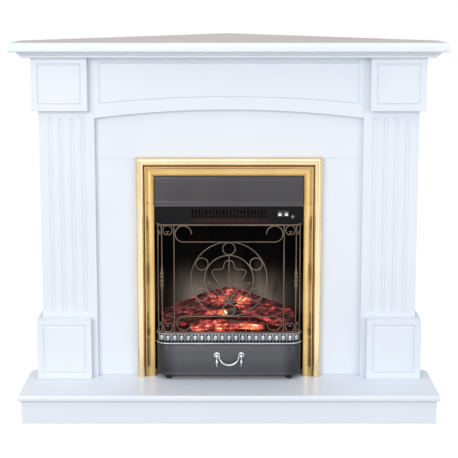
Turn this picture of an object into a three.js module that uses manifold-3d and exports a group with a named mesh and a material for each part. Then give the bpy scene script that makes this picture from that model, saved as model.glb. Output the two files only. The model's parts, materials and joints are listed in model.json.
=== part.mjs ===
// Corner fireplace: a white mantel and hearth for the corner of a room, with an electric fire in it.
// Millimetres, +Z up, the front faces -Y. Depths are measured from the hearth's front nose.
import * as THREE from 'three';
import { mergeVertices } from 'three/addons/utils/BufferGeometryUtils.js';
import Module from 'manifold-3d';

const wasm = await Module();
wasm.setup();

// ---- Driving dimensions -------------------------------------------------------------------------

const overallHeight = 996;
const boardThickness = 16;
const seatGap = 0.3; // between pieces that seat on curved, slanted or moving faces
const slimmest = 0.05; // edges shorter than this are closed up after pieces are joined

// Fire opening and brass trim
const fireHalfWidth = 201; // inner lip of the brass
const fireTop = 637;
const trimWidth = 49;
const trimProud = 20.5; // how far the brass stands out of its flange
const trimBeadRadius = 11;

// Hearth
const hearthHeight = 80;
const hearthTopThickness = 16;
const hearthTopRound = 7;
const hearthBottomRound = 4;
const hearthSideMargin = 33; // nose beyond the plinth's side
const hearthFasciaSetback = 12;
const hearthSideSetback = 8;
const bearerSpacing = 210;

// Legs with their plinths and capitals
const legInner = 358;
const legWidth = 148;
const casingSetback = 129; // hearth nose to the face of plinths and capitals
const casingThickness = 22;
const casingSideThickness = 14;
const casingInset = 15; // leg board that shows beside the casing
const plinthHeight = 167;
const capitalHeight = 141;
const panelMargin = 18;
const grooveWidth = 6;
const grooveDepth = 3;
const fluteCount = 4;
const flutePitch = 29.2;
const fluteWidth = 11;
const fluteDepth = 4;
const fluteFootClear = 13; // from the plinth's top to the flutes
const fluteHeadClear = 19; // from the flutes to the capital
const returnDepth = 74; // side returns' outer faces, from the surround to the walls

// Shelf and frieze
const shelfThickness = 26;
const shelfProjection = 47; // beyond the capital's face
const shelfOverhang = 19; // beyond the moulded board's side
const shelfTopRound = 14;
const shelfBottomRound = 4;
const corniceThickness = 16;
const corniceProjection = 28;
const corniceOverhang = 31;
const corniceStep = 9;
const friezeHeight = 162;
const archRise = 23;
const friezePanelMargin = 15;
const friezePanelFoot = 38;
const friezePanelRise = 18;

// Timber behind the mantel
const cleatHeight = 44;
const cleatThickness = 18;
const cheekOverlap = 14; // cheek board that runs behind the leg

// Firebox
const sheet = 1.5;
const shellHalfWidth = 218;
const shellDepth = 200;
const shellHeadroom = 39; // fire opening's top to the shell's top
const shellFootHeight = 16;
const skidWidth = 18;
const shellClearance = 4; // round the shell in the surround
const openingHeadroom = 6;
const flangeInset = 2;
const ventRows = [0.22, 0.8]; // shares of the shell's height
const ventsPerRow = 7;
const ventPitch = 34;
const ventWidth = 6;
const ventHeight = 44;
const inletPlace = -150; // centre of the shell to the cord inlet
const inletRise = 44;
const inletRadius = 8;
const cordRadius = 3.6;
const skidInset = 30;
const skidSetback = 40;

// Bow-fronted fret, guard and ash pan
const bowDepth = 121; // hearth nose to the flat of the bow
const bowFlatHalf = 163;
const bowRadius = 34;
const bowAngle = THREE.MathUtils.degToRad(70);
const guardOverlap = 9; // its top rail above the control panel's foot
const railRadius = 2.2;
const wireRadius = 1.6;
const guardSetback = 2.5;
const postSpacing = 147; // centre of the guard to its inner posts
const spindleSpacing = 182;
const endPostInset = 5;
const outerRingRadius = 102;
const innerRingRadius = 65.4;
const ringRise = 147.4; // guard's foot to the rings' centre
const smallRingRadius = 16.6;
const smallRingCount = 6;
const topScrollRadius = 22;
const footScrollRadius = 19.5;
const scrollSpan = 122; // centre of the guard to its scrolls' centres
const cornerScrollRadius = 13;
const hornCurlRadius = 4.4;
const fanWireRadius = 1.4;
const hubRadius = 5;
const crownRise = 52; // rings' centre to the crown's top
const crownHalfWidth = 13.5;
const crownTipRise = 20;
const crownReach = 46;
const leafReach = 56;
const leafDrop = 10; // tips of the low leaves below the rings' centre
const hornOpening = 0.75; // radians below the level where a corner ring's ends start to curl
const fretHeight = 25.1;
const fretThickness = 2;
const eggPitch = 18.3;
const eggHalfHeight = 8.4;
const eggHalfWidth = 5.6;
const eggProud = 3.6;
const eggsPerSide = 10;
const dartRadius = 1.8;
const fretLip = 1.8;
const beadRadius = 2.5;
const panHeight = 84.5;
const panFootHeight = 16;
const panFootRadius = 8;
const panFootSpacing = 164;
const panDepth = 41;
const panTravelGap = 0.5;

// Handle on the ash pan
const handleRise = 71; // hearth to the handle
const handleSpacing = 33;
const rosetteRadius = 8.6;
const handleStandoff = 10;
const bailDrop = 25;
const bailRadius = 1.9;
const bailSwell = 0.9;
const pinRadius = 1.8;
const pinClearance = 0.4;
const dropLength = 28;
const dropStandoff = 4.4;
const bailInset = 6.5; // bail's ends inside the rosettes' centres

// Controls
const panelDrop = 137; // fire opening's top to the panel's foot
const slotCount = 22;
const slotPitch = 9.4;
const slotWidth = 4.6;
const slotRise = 19; // panel's foot to its slots
const slotHeight = 24;
const rockerRise = 32;
const rockerPlaces = [137.5, 155];
const rockerWidth = 9;
const rockerHalf = 5.9; // half its height
const rockerFace = 5.5; // pivot to the front of its raised ends
const rockerTilt = THREE.MathUtils.degToRad(8);
const rockerClearance = 0.5;
const bezelRim = 1.9;
const bezelProud = 2;
const switchDepth = 18;
const knobPlace = 172;
const knobRise = 24;
const knobRadius = 5.4;
const knobLength = 9;
const knobShaftRadius = 2.6;
const knobShaftLength = 9;
const dimmerRadius = 8;
const dimmerDepth = 13;

// Hood
const hoodHeight = 81;
const hoodFlare = 12;
const hoodStep = 4;

// Fire bed and flame effect
const bedSideGap = 28.5; // to the shell's sides
const bedFront = 146; // hearth nose to the bed
const bedBack = 262;
const bedThickness = 3;
const bedRise = 126; // hearth to the bed's front edge
const bedSlope = 12; // rise from the front edge to the back
const bedSag = 8;
const screenSetback = 99; // shell front to the flame screen
const screenThickness = 3;
const screenGap = 2; // under the control panel
const spindleSetback = 138;
const spindleRise = 110; // hearth to the flame spindle
const spindleRadius = 3;
const vaneInset = 30.5; // shell's side to the first vane
const vaneCount = 10;
const vaneLength = 30;
const vaneWidth = 17;
const flameMotorRadius = 22;
const flameMotorLength = 30;
const flameMotorGap = 3.5; // to the shell's side
const lampRadius = 17.5;
const lampLength = 98;
const lampSetback = 43;
const lampRise = 56;
const holderRadius = 13;
const holderLength = 30;

// Blower heater
const blowerSetback = 98;
const blowerRise = 90; // control panel's foot to the blower's axis
const blowerRadius = 26;
const blowerHalfLength = 120;
const bladeCount = 10;
const bladeWidth = 7;
const housingGap = 7;
const blowerShaftRadius = 3;
const shaftClearance = 0.4;
const blowerMotorRadius = 30;
const blowerMotorLength = 42;
const elementSetback = 17;
const elementRods = 3;
const elementPitch = 10;
const elementRadius = 2.6;

// ---- Places that follow from them ---------------------------------------------------------------

const hearthUnderside = hearthHeight - hearthTopThickness;
const legOuter = legInner + legWidth;
const legFront = casingSetback + casingThickness;
const surroundFace = legFront + boardThickness;
const cornerDepth = surroundFace + returnDepth + legOuter; // hearth nose to the walls' corner
const casingOuter = legOuter + casingSideThickness;
const hearthHalfWidth = casingOuter + hearthSideMargin;
const corniceHalfWidth = casingOuter + corniceOverhang;
const shelfHalfWidth = corniceHalfWidth + shelfOverhang;
const shelfUnderside = overallHeight - shelfThickness;
const boardTop = shelfUnderside - corniceThickness;
const shellBottom = hearthHeight + shellFootHeight;
const shellTop = fireTop + shellHeadroom;
const shellHeight = shellTop - shellBottom;
const shellFloor = shellBottom + sheet;
const shellBack = surroundFace + shellDepth;
const shellInnerHalf = shellHalfWidth - sheet;
const bedHalfWidth = shellInnerHalf - bedSideGap;
const spindleRight = shellInnerHalf - flameMotorLength - flameMotorGap;
const vaneStart = vaneInset - shellInnerHalf;
const openingHalf = shellHalfWidth + shellClearance;
const openingTop = shellTop + openingHeadroom;
const flangeFace = surroundFace - sheet;
const beadHeight = hearthHeight + panFootHeight + panHeight + panTravelGap + beadRadius;
const fretBottom = beadHeight + beadRadius;
const fretTop = fretBottom + fretHeight;
const panelBottom = fireTop - panelDrop;
const slotBottom = panelBottom + slotRise;
const rockerHeight = panelBottom + rockerRise;
const knobHeight = panelBottom + knobRise;
const blowerHeight = panelBottom + blowerRise;
const screenTop = panelBottom - screenGap;
const guardTop = panelBottom + guardOverlap;
const guardFoot = fretTop + railRadius + seatGap;
const ringCentreHeight = guardFoot + ringRise;
const crownTop = ringCentreHeight + crownRise;
const crownTip = ringCentreHeight + crownTipRise;
const handleHeight = hearthHeight + handleRise;
const bedTop = hearthHeight + bedRise;
const spindleHeight = hearthHeight + spindleRise;
const lampHeight = hearthHeight + lampRise;
const panelFace = surroundFace + seatGap;
const panelBack = panelFace + sheet;

// ---- Materials ----------------------------------------------------------------------------------

function finish(color, roughness, metalness = 0) {
  return new THREE.MeshStandardMaterial({ color, roughness, metalness });
}

const whiteLacquer = finish(0xe6ebf1, 0.35);
const rawTimber = finish(0xc9a877, 0.8);
const polishedBrass = finish(0xe0a83a, 0.22, 1);
const graphiteSheet = finish(0x5b5a5e, 0.45, 0.6);
const blackSheet = finish(0x16161a, 0.6, 0.3);
const pewter = finish(0x8a7f74, 0.4, 0.9);
const silverCast = finish(0xb9bbc0, 0.3, 1);
const panGraphite = finish(0x6c6d71, 0.4, 0.6);
const chrome = finish(0xd8d9dc, 0.12, 1);
const rubber = finish(0x141414, 0.9);
const ivoryPlastic = finish(0xf3f1ea, 0.4);
const blackPlastic = finish(0x1b1b1d, 0.45);
const emberResin = finish(0xd4532a, 0.7);
const logResin = finish(0x7a3a24, 0.75);
const frostedPanel = finish(0x4a4642, 0.5);
const lampGlass = finish(0xffe2b0, 0.15);
const zincSteel = finish(0xa8aaad, 0.4, 1);

// ---- Modelling helpers --------------------------------------------------------------------------

function indexed(geometry) {
  const plain = geometry.clone();
  plain.deleteAttribute('normal');
  plain.deleteAttribute('uv');
  return mergeVertices(plain, 1e-3);
}

function toSolid(geometry) {
  const merged = indexed(geometry);
  const vertProperties = new Float32Array(merged.attributes.position.array);
  const triVerts = new Uint32Array(merged.index.array);
  return new wasm.Manifold(new wasm.Mesh({ numProp: 3, vertProperties, triVerts }));
}

function toGeometry(solid) {
  const mesh = solid.getMesh();
  const geometry = new THREE.BufferGeometry();
  geometry.setAttribute('position', new THREE.BufferAttribute(mesh.vertProperties, 3));
  geometry.setIndex(new THREE.BufferAttribute(mesh.triVerts, 1));
  geometry.computeVertexNormals();
  return geometry;
}

// Joins pieces into one solid, and fills the tiny pockets that crossing wires shut in
function join(geometries) {
  const solids = geometries.map(toSolid);
  const whole = solids.reduce((sum, solid) => sum.add(solid));
  const skins = whole.decompose().filter((skin) => skin.volume() > 0);
  return toGeometry(skins.reduce((sum, skin) => sum.add(skin)).simplify(slimmest));
}

function cut(geometry, tools) {
  const start = toSolid(geometry);
  return toGeometry(tools.map(toSolid).reduce((whole, tool) => whole.subtract(tool), start));
}

function mirrored(geometry) {
  return facingOut(geometry.clone().scale(-1, 1, 1));
}

function block([x0, x1], [y0, y1], [z0, z1]) {
  const geometry = new THREE.BoxGeometry(x1 - x0, y1 - y0, z1 - z0);
  return geometry.translate((x0 + x1) / 2, (y0 + y1) / 2, (z0 + z1) / 2);
}

function shapeOf(points) {
  return new THREE.Shape(points.map(([x, y]) => new THREE.Vector2(x, y)));
}

// A plan outline (across, deep) raised from a height
function planBoard(points, bottom, height) {
  const geometry = new THREE.ExtrudeGeometry(shapeOf(points), { depth: height, bevelEnabled: false });
  return geometry.translate(0, 0, bottom);
}

// A front outline (across, up) with its face at a depth
function frontBoard(points, face, thickness) {
  const geometry = new THREE.ExtrudeGeometry(shapeOf(points), { depth: thickness, bevelEnabled: false });
  return geometry.rotateX(Math.PI / 2).translate(0, face + thickness, 0);
}

// A side outline (deep, up) run across from x0 to x1
function sideRun(points, x0, x1) {
  const geometry = new THREE.ExtrudeGeometry(shapeOf(points), { depth: x1 - x0, bevelEnabled: false });
  return geometry.rotateX(Math.PI / 2).rotateZ(Math.PI / 2).translate(x0, 0, 0);
}

function signedVolume(geometry) {
  const { array } = geometry.attributes.position;
  const faces = geometry.index.array;
  const [a, b, c] = [new THREE.Vector3(), new THREE.Vector3(), new THREE.Vector3()];
  let volume = 0;
  for (let i = 0; i < faces.length; i += 3) {
    a.fromArray(array, faces[i] * 3);
    b.fromArray(array, faces[i + 1] * 3);
    c.fromArray(array, faces[i + 2] * 3);
    volume += a.dot(b.cross(c));
  }
  return volume;
}

function turnInsideOut(geometry) {
  const faces = geometry.index.array;
  for (let i = 0; i < faces.length; i += 3) {
    [faces[i], faces[i + 1]] = [faces[i + 1], faces[i]];
  }
  return geometry;
}

function facingOut(geometry) {
  const shell = indexed(geometry);
  if (signedVolume(shell) < 0) turnInsideOut(shell);
  shell.computeVertexNormals();
  return shell;
}

// A turned solid about +Y; its profile of [radius, along] starts and ends on the axis
function turned(profile, segments) {
  const points = profile.map(([radius, along]) => new THREE.Vector2(radius, along));
  return facingOut(new THREE.LatheGeometry(points, segments));
}

function turnedAcross(profile, depth, height, segments = 16) {
  return turned(profile, segments).rotateZ(-Math.PI / 2).translate(0, depth, height);
}

function turnedUpright(profile, x, depth, segments = 12) {
  return turned(profile, segments).rotateX(Math.PI / 2).translate(x, depth, 0);
}

// A turned piece that faces the room: distances along its profile are in front of the face
function turnedForward(profile, x, face, height, segments = 16) {
  return turned(profile, segments).rotateX(Math.PI).translate(x, face, height);
}

function rodAcross(x0, x1, radius, depth, height, segments = 12) {
  return turnedAcross([[0, x0], [radius, x0], [radius, x1], [0, x1]], depth, height, segments);
}

function capTriangles(ring) {
  const normal = new THREE.Vector3();
  ring.forEach((point, i) => {
    normal.add(new THREE.Vector3().crossVectors(point, ring[(i + 1) % ring.length]));
  });
  normal.normalize();
  const across = new THREE.Vector3().subVectors(ring[1], ring[0]).normalize();
  const along = new THREE.Vector3().crossVectors(normal, across);
  const flat = ring.map((point) => new THREE.Vector2(point.dot(across), point.dot(along)));
  return THREE.ShapeUtils.triangulateShape(flat, []).map(([a, b, c]) => {
    const turn = (flat[b].x - flat[a].x) * (flat[c].y - flat[a].y)
      - (flat[b].y - flat[a].y) * (flat[c].x - flat[a].x);
    return turn > 0 ? [a, b, c] : [a, c, b];
  });
}

// Skins a row of matching rings of Vector3, and caps both ends unless the row closes on itself
function loft(rings, closed = false) {
  const count = rings[0].length;
  const points = rings.flat();
  const faces = [];
  const spans = closed ? rings.length : rings.length - 1;
  for (let r = 0; r < spans; r += 1) {
    const near = r * count;
    const far = ((r + 1) % rings.length) * count;
    for (let i = 0; i < count; i += 1) {
      const j = (i + 1) % count;
      faces.push(near + i, near + j, far + j, near + i, far + j, far + i);
    }
  }
  if (!closed) {
    const last = points.length - count;
    capTriangles(rings[0]).forEach(([a, b, c]) => faces.push(a, c, b));
    capTriangles(rings[rings.length - 1]).forEach(([a, b, c]) => faces.push(last + a, last + b, last + c));
  }
  const geometry = new THREE.BufferGeometry().setFromPoints(points);
  geometry.setIndex(faces);
  return facingOut(geometry);
}

// Sweeps a profile of [side, up] points along a path, mitred where the path turns
function sweep(profile, path, upAt, { closed = false, first = 0, last = path.length - 1 } = {}) {
  const rings = [];
  for (let i = first; i <= last; i += 1) {
    const before = path[i - 1] ?? (closed ? path[path.length - 1] : null);
    const after = path[i + 1] ?? (closed ? path[0] : null);
    const up = upAt(i);
    const sides = [before && path[i].clone().sub(before), after && after.clone().sub(path[i])]
      .filter(Boolean)
      .map((direction) => new THREE.Vector3().crossVectors(up, direction).normalize());
    const side = sides[0].clone();
    if (sides.length === 2) side.add(sides[1]).divideScalar(1 + sides[0].dot(sides[1]));
    rings.push(profile.map(([across, rise]) => path[i].clone()
      .addScaledVector(side, across).addScaledVector(up, rise)));
  }
  return loft(rings, closed);
}

function roundSection(radius, sides) {
  const turns = Array.from({ length: sides }, (_, i) => ((i + 0.5) / sides) * Math.PI * 2);
  return turns.map((turn) => [radius * Math.cos(turn), radius * Math.sin(turn)]);
}

function arc(centreX, centreY, radius, fromTurn, toTurn, steps) {
  return Array.from({ length: steps + 1 }, (_, i) => {
    const turn = fromTurn + ((toTurn - fromTurn) * i) / steps;
    return [centreX + radius * Math.cos(turn), centreY + radius * Math.sin(turn)];
  });
}

const group = new THREE.Group();
const room = new THREE.Group();
room.position.y = -cornerDepth / 2;
group.add(room);

function add(name, geometry, material) {
  const mesh = new THREE.Mesh(geometry, material);
  mesh.name = name;
  room.add(mesh);
  return mesh;
}

function addPair(name, rightGeometry, material) {
  add(`${name}_right`, rightGeometry, material);
  add(`${name}_left`, mirrored(rightGeometry), material);
}

// ---- Hearth, and boards that fill the corner ----------------------------------------------------

function wallDepthAt(x) {
  return cornerDepth - Math.abs(x);
}

function cornerOutline(halfWidth, front) {
  return [
    [-halfWidth, front], [halfWidth, front], [halfWidth, wallDepthAt(halfWidth)],
    [0, cornerDepth], [-halfWidth, wallDepthAt(halfWidth)],
  ];
}

// A board whose front and side edges are shaped by [inset, height] steps; its wall edges stay square
function edgedBoard(halfWidth, front, edge) {
  return loft(edge.map(([inset, height]) => cornerOutline(halfWidth - inset, front + inset)
    .map(([x, y]) => new THREE.Vector3(x, y, height))));
}

function roundedEdge(bottom, top, lowRadius, highRadius, steps) {
  const low = arc(lowRadius, bottom + lowRadius, lowRadius, -Math.PI / 2, -Math.PI, steps);
  const high = arc(highRadius, top - highRadius, highRadius, Math.PI, Math.PI / 2, steps);
  return [...low, ...high];
}

// Two boards along the walls, glued where they meet in the corner
function cornerFrame(halfWidth, thickness, bottom, height) {
  const slant = thickness * Math.SQRT2;
  return planBoard([
    [-halfWidth, wallDepthAt(halfWidth)], [-halfWidth, wallDepthAt(halfWidth) - slant],
    [0, cornerDepth - slant], [halfWidth, wallDepthAt(halfWidth) - slant],
    [halfWidth, wallDepthAt(halfWidth)], [0, cornerDepth],
  ], bottom, height);
}

function makeHearth() {
  const nose = roundedEdge(hearthUnderside, hearthHeight, hearthBottomRound, hearthTopRound, 3);
  add('hearth_top', edgedBoard(hearthHalfWidth, 0, nose), whiteLacquer);
  const outer = hearthHalfWidth - hearthSideSetback;
  const inner = outer - boardThickness;
  const back = hearthFasciaSetback + boardThickness;
  add('hearth_fascia',
    block([-outer, outer], [hearthFasciaSetback, back], [0, hearthUnderside]), whiteLacquer);
  addPair('hearth_side', planBoard(
    [[inner, back], [outer, back], [outer, wallDepthAt(outer)], [inner, wallDepthAt(inner)]],
    0, hearthUnderside,
  ), whiteLacquer);
  const rails = cornerFrame(inner, boardThickness, 0, hearthUnderside);
  const bearers = [-1, 0, 1].map((place) => {
    const middle = place * bearerSpacing;
    const reach = wallDepthAt(Math.abs(middle) + boardThickness / 2) - boardThickness;
    return block([middle - boardThickness / 2, middle + boardThickness / 2], [back, reach],
      [0, hearthUnderside]);
  });
  add('hearth_framing', join([rails, ...bearers]), rawTimber);
}

// ---- Mantel -------------------------------------------------------------------------------------

function groove(points, face, closed = true) {
  const forward = new THREE.Vector3(0, -1, 0);
  const path = points.map(([x, z]) => new THREE.Vector3(x, face, z));
  const vee = [[-grooveWidth / 2 - 0.5, 0.5], [grooveWidth / 2 + 0.5, 0.5], [0, -grooveDepth]];
  return sweep(vee, path, () => forward, { closed });
}

// Plinth or capital: a block front that wraps the leg's outer side back to the wall
function casing(bottom, height) {
  const inner = legInner + casingInset;
  const body = planBoard([
    [inner, casingSetback], [casingOuter, casingSetback], [casingOuter, wallDepthAt(casingOuter)],
    [legOuter, wallDepthAt(legOuter)], [legOuter, legFront], [inner, legFront],
  ], bottom, height);
  const [x0, x1] = [inner + panelMargin, casingOuter - panelMargin];
  const [z0, z1] = [bottom + panelMargin, bottom + height - panelMargin];
  return cut(body, [groove([[x0, z0], [x1, z0], [x1, z1], [x0, z1]], casingSetback)]);
}

function legBoard() {
  const radius = (fluteWidth ** 2 / 4 + fluteDepth ** 2) / (2 * fluteDepth);
  const foot = hearthHeight + plinthHeight + fluteFootClear;
  const head = boardTop - capitalHeight - fluteHeadClear;
  const middle = legInner + legWidth / 2;
  const flutes = Array.from({ length: fluteCount }, (_, i) => {
    const x = middle + (i - (fluteCount - 1) / 2) * flutePitch;
    return new THREE.CapsuleGeometry(radius, head - foot - fluteWidth, 2, 10)
      .rotateX(Math.PI / 2).translate(x, legFront - radius + fluteDepth, (foot + head) / 2);
  });
  return cut(block([legInner, legOuter], [legFront, surroundFace], [hearthHeight, boardTop]), flutes);
}

// Points of a shallow arch between two sides, rising towards the middle
function archPoints(halfWidth, springing, rise, steps) {
  const radius = (halfWidth ** 2 + rise ** 2) / (2 * rise);
  const half = Math.asin(halfWidth / radius);
  return arc(0, springing + rise - radius, radius, Math.PI / 2 + half, Math.PI / 2 - half, steps);
}

function friezeBoard() {
  const springing = boardTop - friezeHeight;
  const arch = archPoints(legInner, springing, archRise, 18);
  const board = frontBoard([...arch, [legInner, boardTop], [-legInner, boardTop]], legFront, boardThickness);
  const half = legInner - friezePanelMargin;
  const top = boardTop - friezePanelMargin;
  const foot = archPoints(half, springing + friezePanelFoot, friezePanelRise, 12);
  return cut(board, [groove([...foot, [half, top], [-half, top]], legFront)]);
}

function makeMantel() {
  const shelfFront = casingSetback - shelfProjection;
  const shelfEdge = roundedEdge(shelfUnderside, overallHeight, shelfBottomRound, shelfTopRound, 4);
  add('shelf_board', edgedBoard(shelfHalfWidth, shelfFront, shelfEdge), whiteLacquer);

  const lip = corniceThickness * 0.4; // height of the lower member
  const corniceEdge = [
    [corniceStep + 2, boardTop], [corniceStep, boardTop + 2], [corniceStep, boardTop + lip],
    [corniceStep / 2, boardTop + lip + 1.5], [1, shelfUnderside - 4], [0, shelfUnderside - 2],
    [0, shelfUnderside],
  ];
  add('cornice_board',
    edgedBoard(corniceHalfWidth, casingSetback - corniceProjection, corniceEdge), whiteLacquer);

  addPair('capital', casing(boardTop - capitalHeight, capitalHeight), whiteLacquer);
  addPair('plinth', casing(hearthHeight, plinthHeight), whiteLacquer);
  addPair('leg_board', legBoard(), whiteLacquer);
  add('frieze_board', friezeBoard(), whiteLacquer);

  const cheekOuter = legInner + cheekOverlap;
  const surroundBack = surroundFace + boardThickness;
  add('surround_header',
    block([-cheekOuter, cheekOuter], [surroundFace, surroundBack], [openingTop, boardTop]), whiteLacquer);
  addPair('surround_cheek',
    block([openingHalf, cheekOuter], [surroundFace, surroundBack], [hearthHeight, openingTop]), whiteLacquer);

  const returnInner = legOuter - boardThickness;
  addPair('side_return', planBoard([
    [returnInner, surroundFace], [legOuter, surroundFace],
    [legOuter, wallDepthAt(legOuter)], [returnInner, wallDepthAt(returnInner)],
  ], hearthHeight, boardTop - hearthHeight), whiteLacquer);
  add('wall_cleats',
    cornerFrame(returnInner, cleatThickness, boardTop - cleatHeight, cleatHeight), rawTimber);
}

// ---- Brass trim ---------------------------------------------------------------------------------

function makeTrim() {
  const beadCentre = trimWidth - trimBeadRadius;
  const beadBase = trimProud - trimBeadRadius;
  const profile = [
    [0, 0], [0, 9], [1.5, 11], [3.5, 9.5], [5, 7.5], [12, 8.6], [19, 12], [23, 15.5], [25.5, 14],
    ...arc(beadCentre, beadBase, trimBeadRadius, Math.PI, 0, 9), [trimWidth, 0],
  ];
  const forward = new THREE.Vector3(0, -1, 0);
  const corner = (x, z) => new THREE.Vector3(x, flangeFace, z);
  const path = [
    corner(-fireHalfWidth, hearthHeight + seatGap), corner(-fireHalfWidth, fireTop),
    corner(fireHalfWidth, fireTop), corner(fireHalfWidth, hearthHeight + seatGap),
  ];
  const run = (first, last) => sweep(profile, path, () => forward, { first, last });
  add('trim_left', run(0, 1).translate(0, 0, -seatGap), polishedBrass);
  add('trim_top', run(1, 2), polishedBrass);
  add('trim_right', run(2, 3).translate(0, 0, -seatGap), polishedBrass);
}

// ---- Firebox ------------------------------------------------------------------------------------

function makeFirebox() {
  const body = block([-shellHalfWidth, shellHalfWidth], [surroundFace, shellBack], [shellBottom, shellTop]);
  const hollow = block([-shellInnerHalf, shellInnerHalf], [surroundFace - 1, shellBack + 1],
    [shellFloor, shellTop - sheet]);
  const flangeHalf = fireHalfWidth + trimWidth - flangeInset;
  const flangeTop = fireTop + trimWidth - flangeInset;
  const flange = cut(
    block([-flangeHalf, flangeHalf], [flangeFace, surroundFace], [hearthHeight + seatGap, flangeTop]),
    [block([-shellInnerHalf, shellInnerHalf], [flangeFace - 1, surroundFace + 1], [0, shellTop - sheet])],
  );
  const bearing = rodAcross(-shellHalfWidth - 1, -shellInnerHalf + 1, spindleRadius + shaftClearance,
    surroundFace + spindleSetback, spindleHeight);
  add('firebox_shell',
    join([cut(body, [hollow, bearing]), flange, fretTab(), mirrored(fretTab())]), blackSheet);

  const vents = ventRows.flatMap((row) => Array.from({ length: ventsPerRow }, (_, i) => {
    const x = (i - (ventsPerRow - 1) / 2) * ventPitch;
    const z = shellBottom + shellHeight * row;
    return block([x - ventWidth / 2, x + ventWidth / 2], [shellBack - 1, shellBack + sheet + 1],
      [z - ventHeight / 2, z + ventHeight / 2]);
  }));
  const inletHeight = shellBottom + inletRise;
  const inletHole = turnedForward([
    [0, 5], [inletRadius + seatGap, 5], [inletRadius + seatGap, -5], [0, -5],
  ], inletPlace, shellBack, inletHeight);
  add('rear_cover', cut(
    block([-shellHalfWidth, shellHalfWidth], [shellBack, shellBack + sheet], [shellBottom, shellTop]),
    [...vents, inletHole],
  ), blackSheet);

  const collar = [
    [0, 4], [inletRadius, 4], [inletRadius, -sheet - seatGap], [inletRadius + 3, -sheet - seatGap],
    [inletRadius + 2, -sheet - 4], [0, -sheet - 4],
  ];
  const bore = turnedForward([
    [0, 6], [cordRadius, 6], [cordRadius, -12], [0, -12],
  ], inletPlace, shellBack, inletHeight, 12);
  add('cord_inlet', cut(turnedForward(collar, inletPlace, shellBack, inletHeight), [bore]), blackPlastic);

  const skidHalf = shellHalfWidth - skidInset;
  const skidFront = shellBack - skidSetback;
  add('shell_skid', block([-skidHalf, skidHalf], [skidFront, skidFront + skidWidth],
    [hearthHeight, shellBottom]), rubber);
}

// ---- Fret, guard and ash pan on one bow ---------------------------------------------------------

// Where a run along the bow stands, and which way it faces: `along` is measured from the middle
function onBow(along, setback = 0) {
  const beyond = Math.max(0, Math.abs(along) - bowFlatHalf);
  const turn = beyond / bowRadius;
  const radius = bowRadius - setback;
  const side = Math.sign(along) || 1;
  const x = beyond === 0 ? along : side * (bowFlatHalf + radius * Math.sin(turn));
  const place = [x, bowDepth + bowRadius - radius * Math.cos(turn)];
  return { place, facing: [side * Math.sin(turn), -Math.cos(turn)] };
}

const bowHalfLength = bowFlatHalf + bowRadius * bowAngle;
const bowSteps = 4;
const bowStations = [
  ...Array.from({ length: bowSteps + 1 }, (_, i) => -bowHalfLength + (i / bowSteps) * bowRadius * bowAngle),
  ...Array.from({ length: bowSteps + 1 }, (_, i) => bowFlatHalf + (i / bowSteps) * bowRadius * bowAngle),
];

function bowOutline(setback) {
  return bowStations.map((along) => onBow(along, setback).place);
}

function bowStrip(setback, thickness, bottom, height) {
  return planBoard([...bowOutline(setback), ...bowOutline(setback + thickness).reverse()], bottom, height);
}

function bowPoint(along, height, setback) {
  const [x, y] = onBow(along, setback).place;
  return new THREE.Vector3(x, y, height);
}

// A wire bent from [along, height] points on the bow
function bowWire(points, radius = wireRadius, sides = 5) {
  const path = points.map(([along, height]) => bowPoint(along, height, guardSetback));
  const facing = (i) => new THREE.Vector3(...onBow(points[i][0]).facing, 0);
  return sweep(roundSection(radius, sides), path, facing);
}

function bowRail(height, radius, sides, setback = guardSetback) {
  const path = bowStations.map((along) => bowPoint(along, height, setback));
  return sweep(roundSection(radius, sides), path, () => new THREE.Vector3(0, 0, 1));
}

function ring(x, height, radius, steps) {
  return new THREE.TorusGeometry(radius, wireRadius, 4, steps)
    .rotateX(Math.PI / 2).translate(x, bowDepth + guardSetback, height);
}

function bothHands(points) {
  return [points, points.map(([along, height]) => [-along, height])];
}

// A long wire that ends in a scroll at each side; `lift` is +1 when the scrolls stand above it
function scrollWire(height, radius, lift) {
  const centre = height + lift * radius;
  const right = arc(scrollSpan, centre, radius, -lift * Math.PI / 2, lift * Math.PI, 11);
  const left = right.map(([along, z]) => [-along, z]).reverse();
  return bowWire([...left, ...right], wireRadius, 4);
}

// A small ring broken at one side, with its two ends curled inwards
function hornScroll(centre, height, lift) {
  const run = cornerScrollRadius - hornCurlRadius;
  const half = [
    ...arc(0, 0, cornerScrollRadius, Math.PI / 2, -hornOpening, 6),
    ...arc(run * Math.cos(hornOpening), -run * Math.sin(hornOpening), hornCurlRadius,
      -hornOpening, -Math.PI * 1.2, 5).slice(1),
  ];
  const placed = (side) => half.map(([along, z]) => [centre + side * along, height + lift * z]);
  return bowWire([...placed(-1).reverse(), ...placed(1).slice(1)], wireRadius, 4);
}

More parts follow.
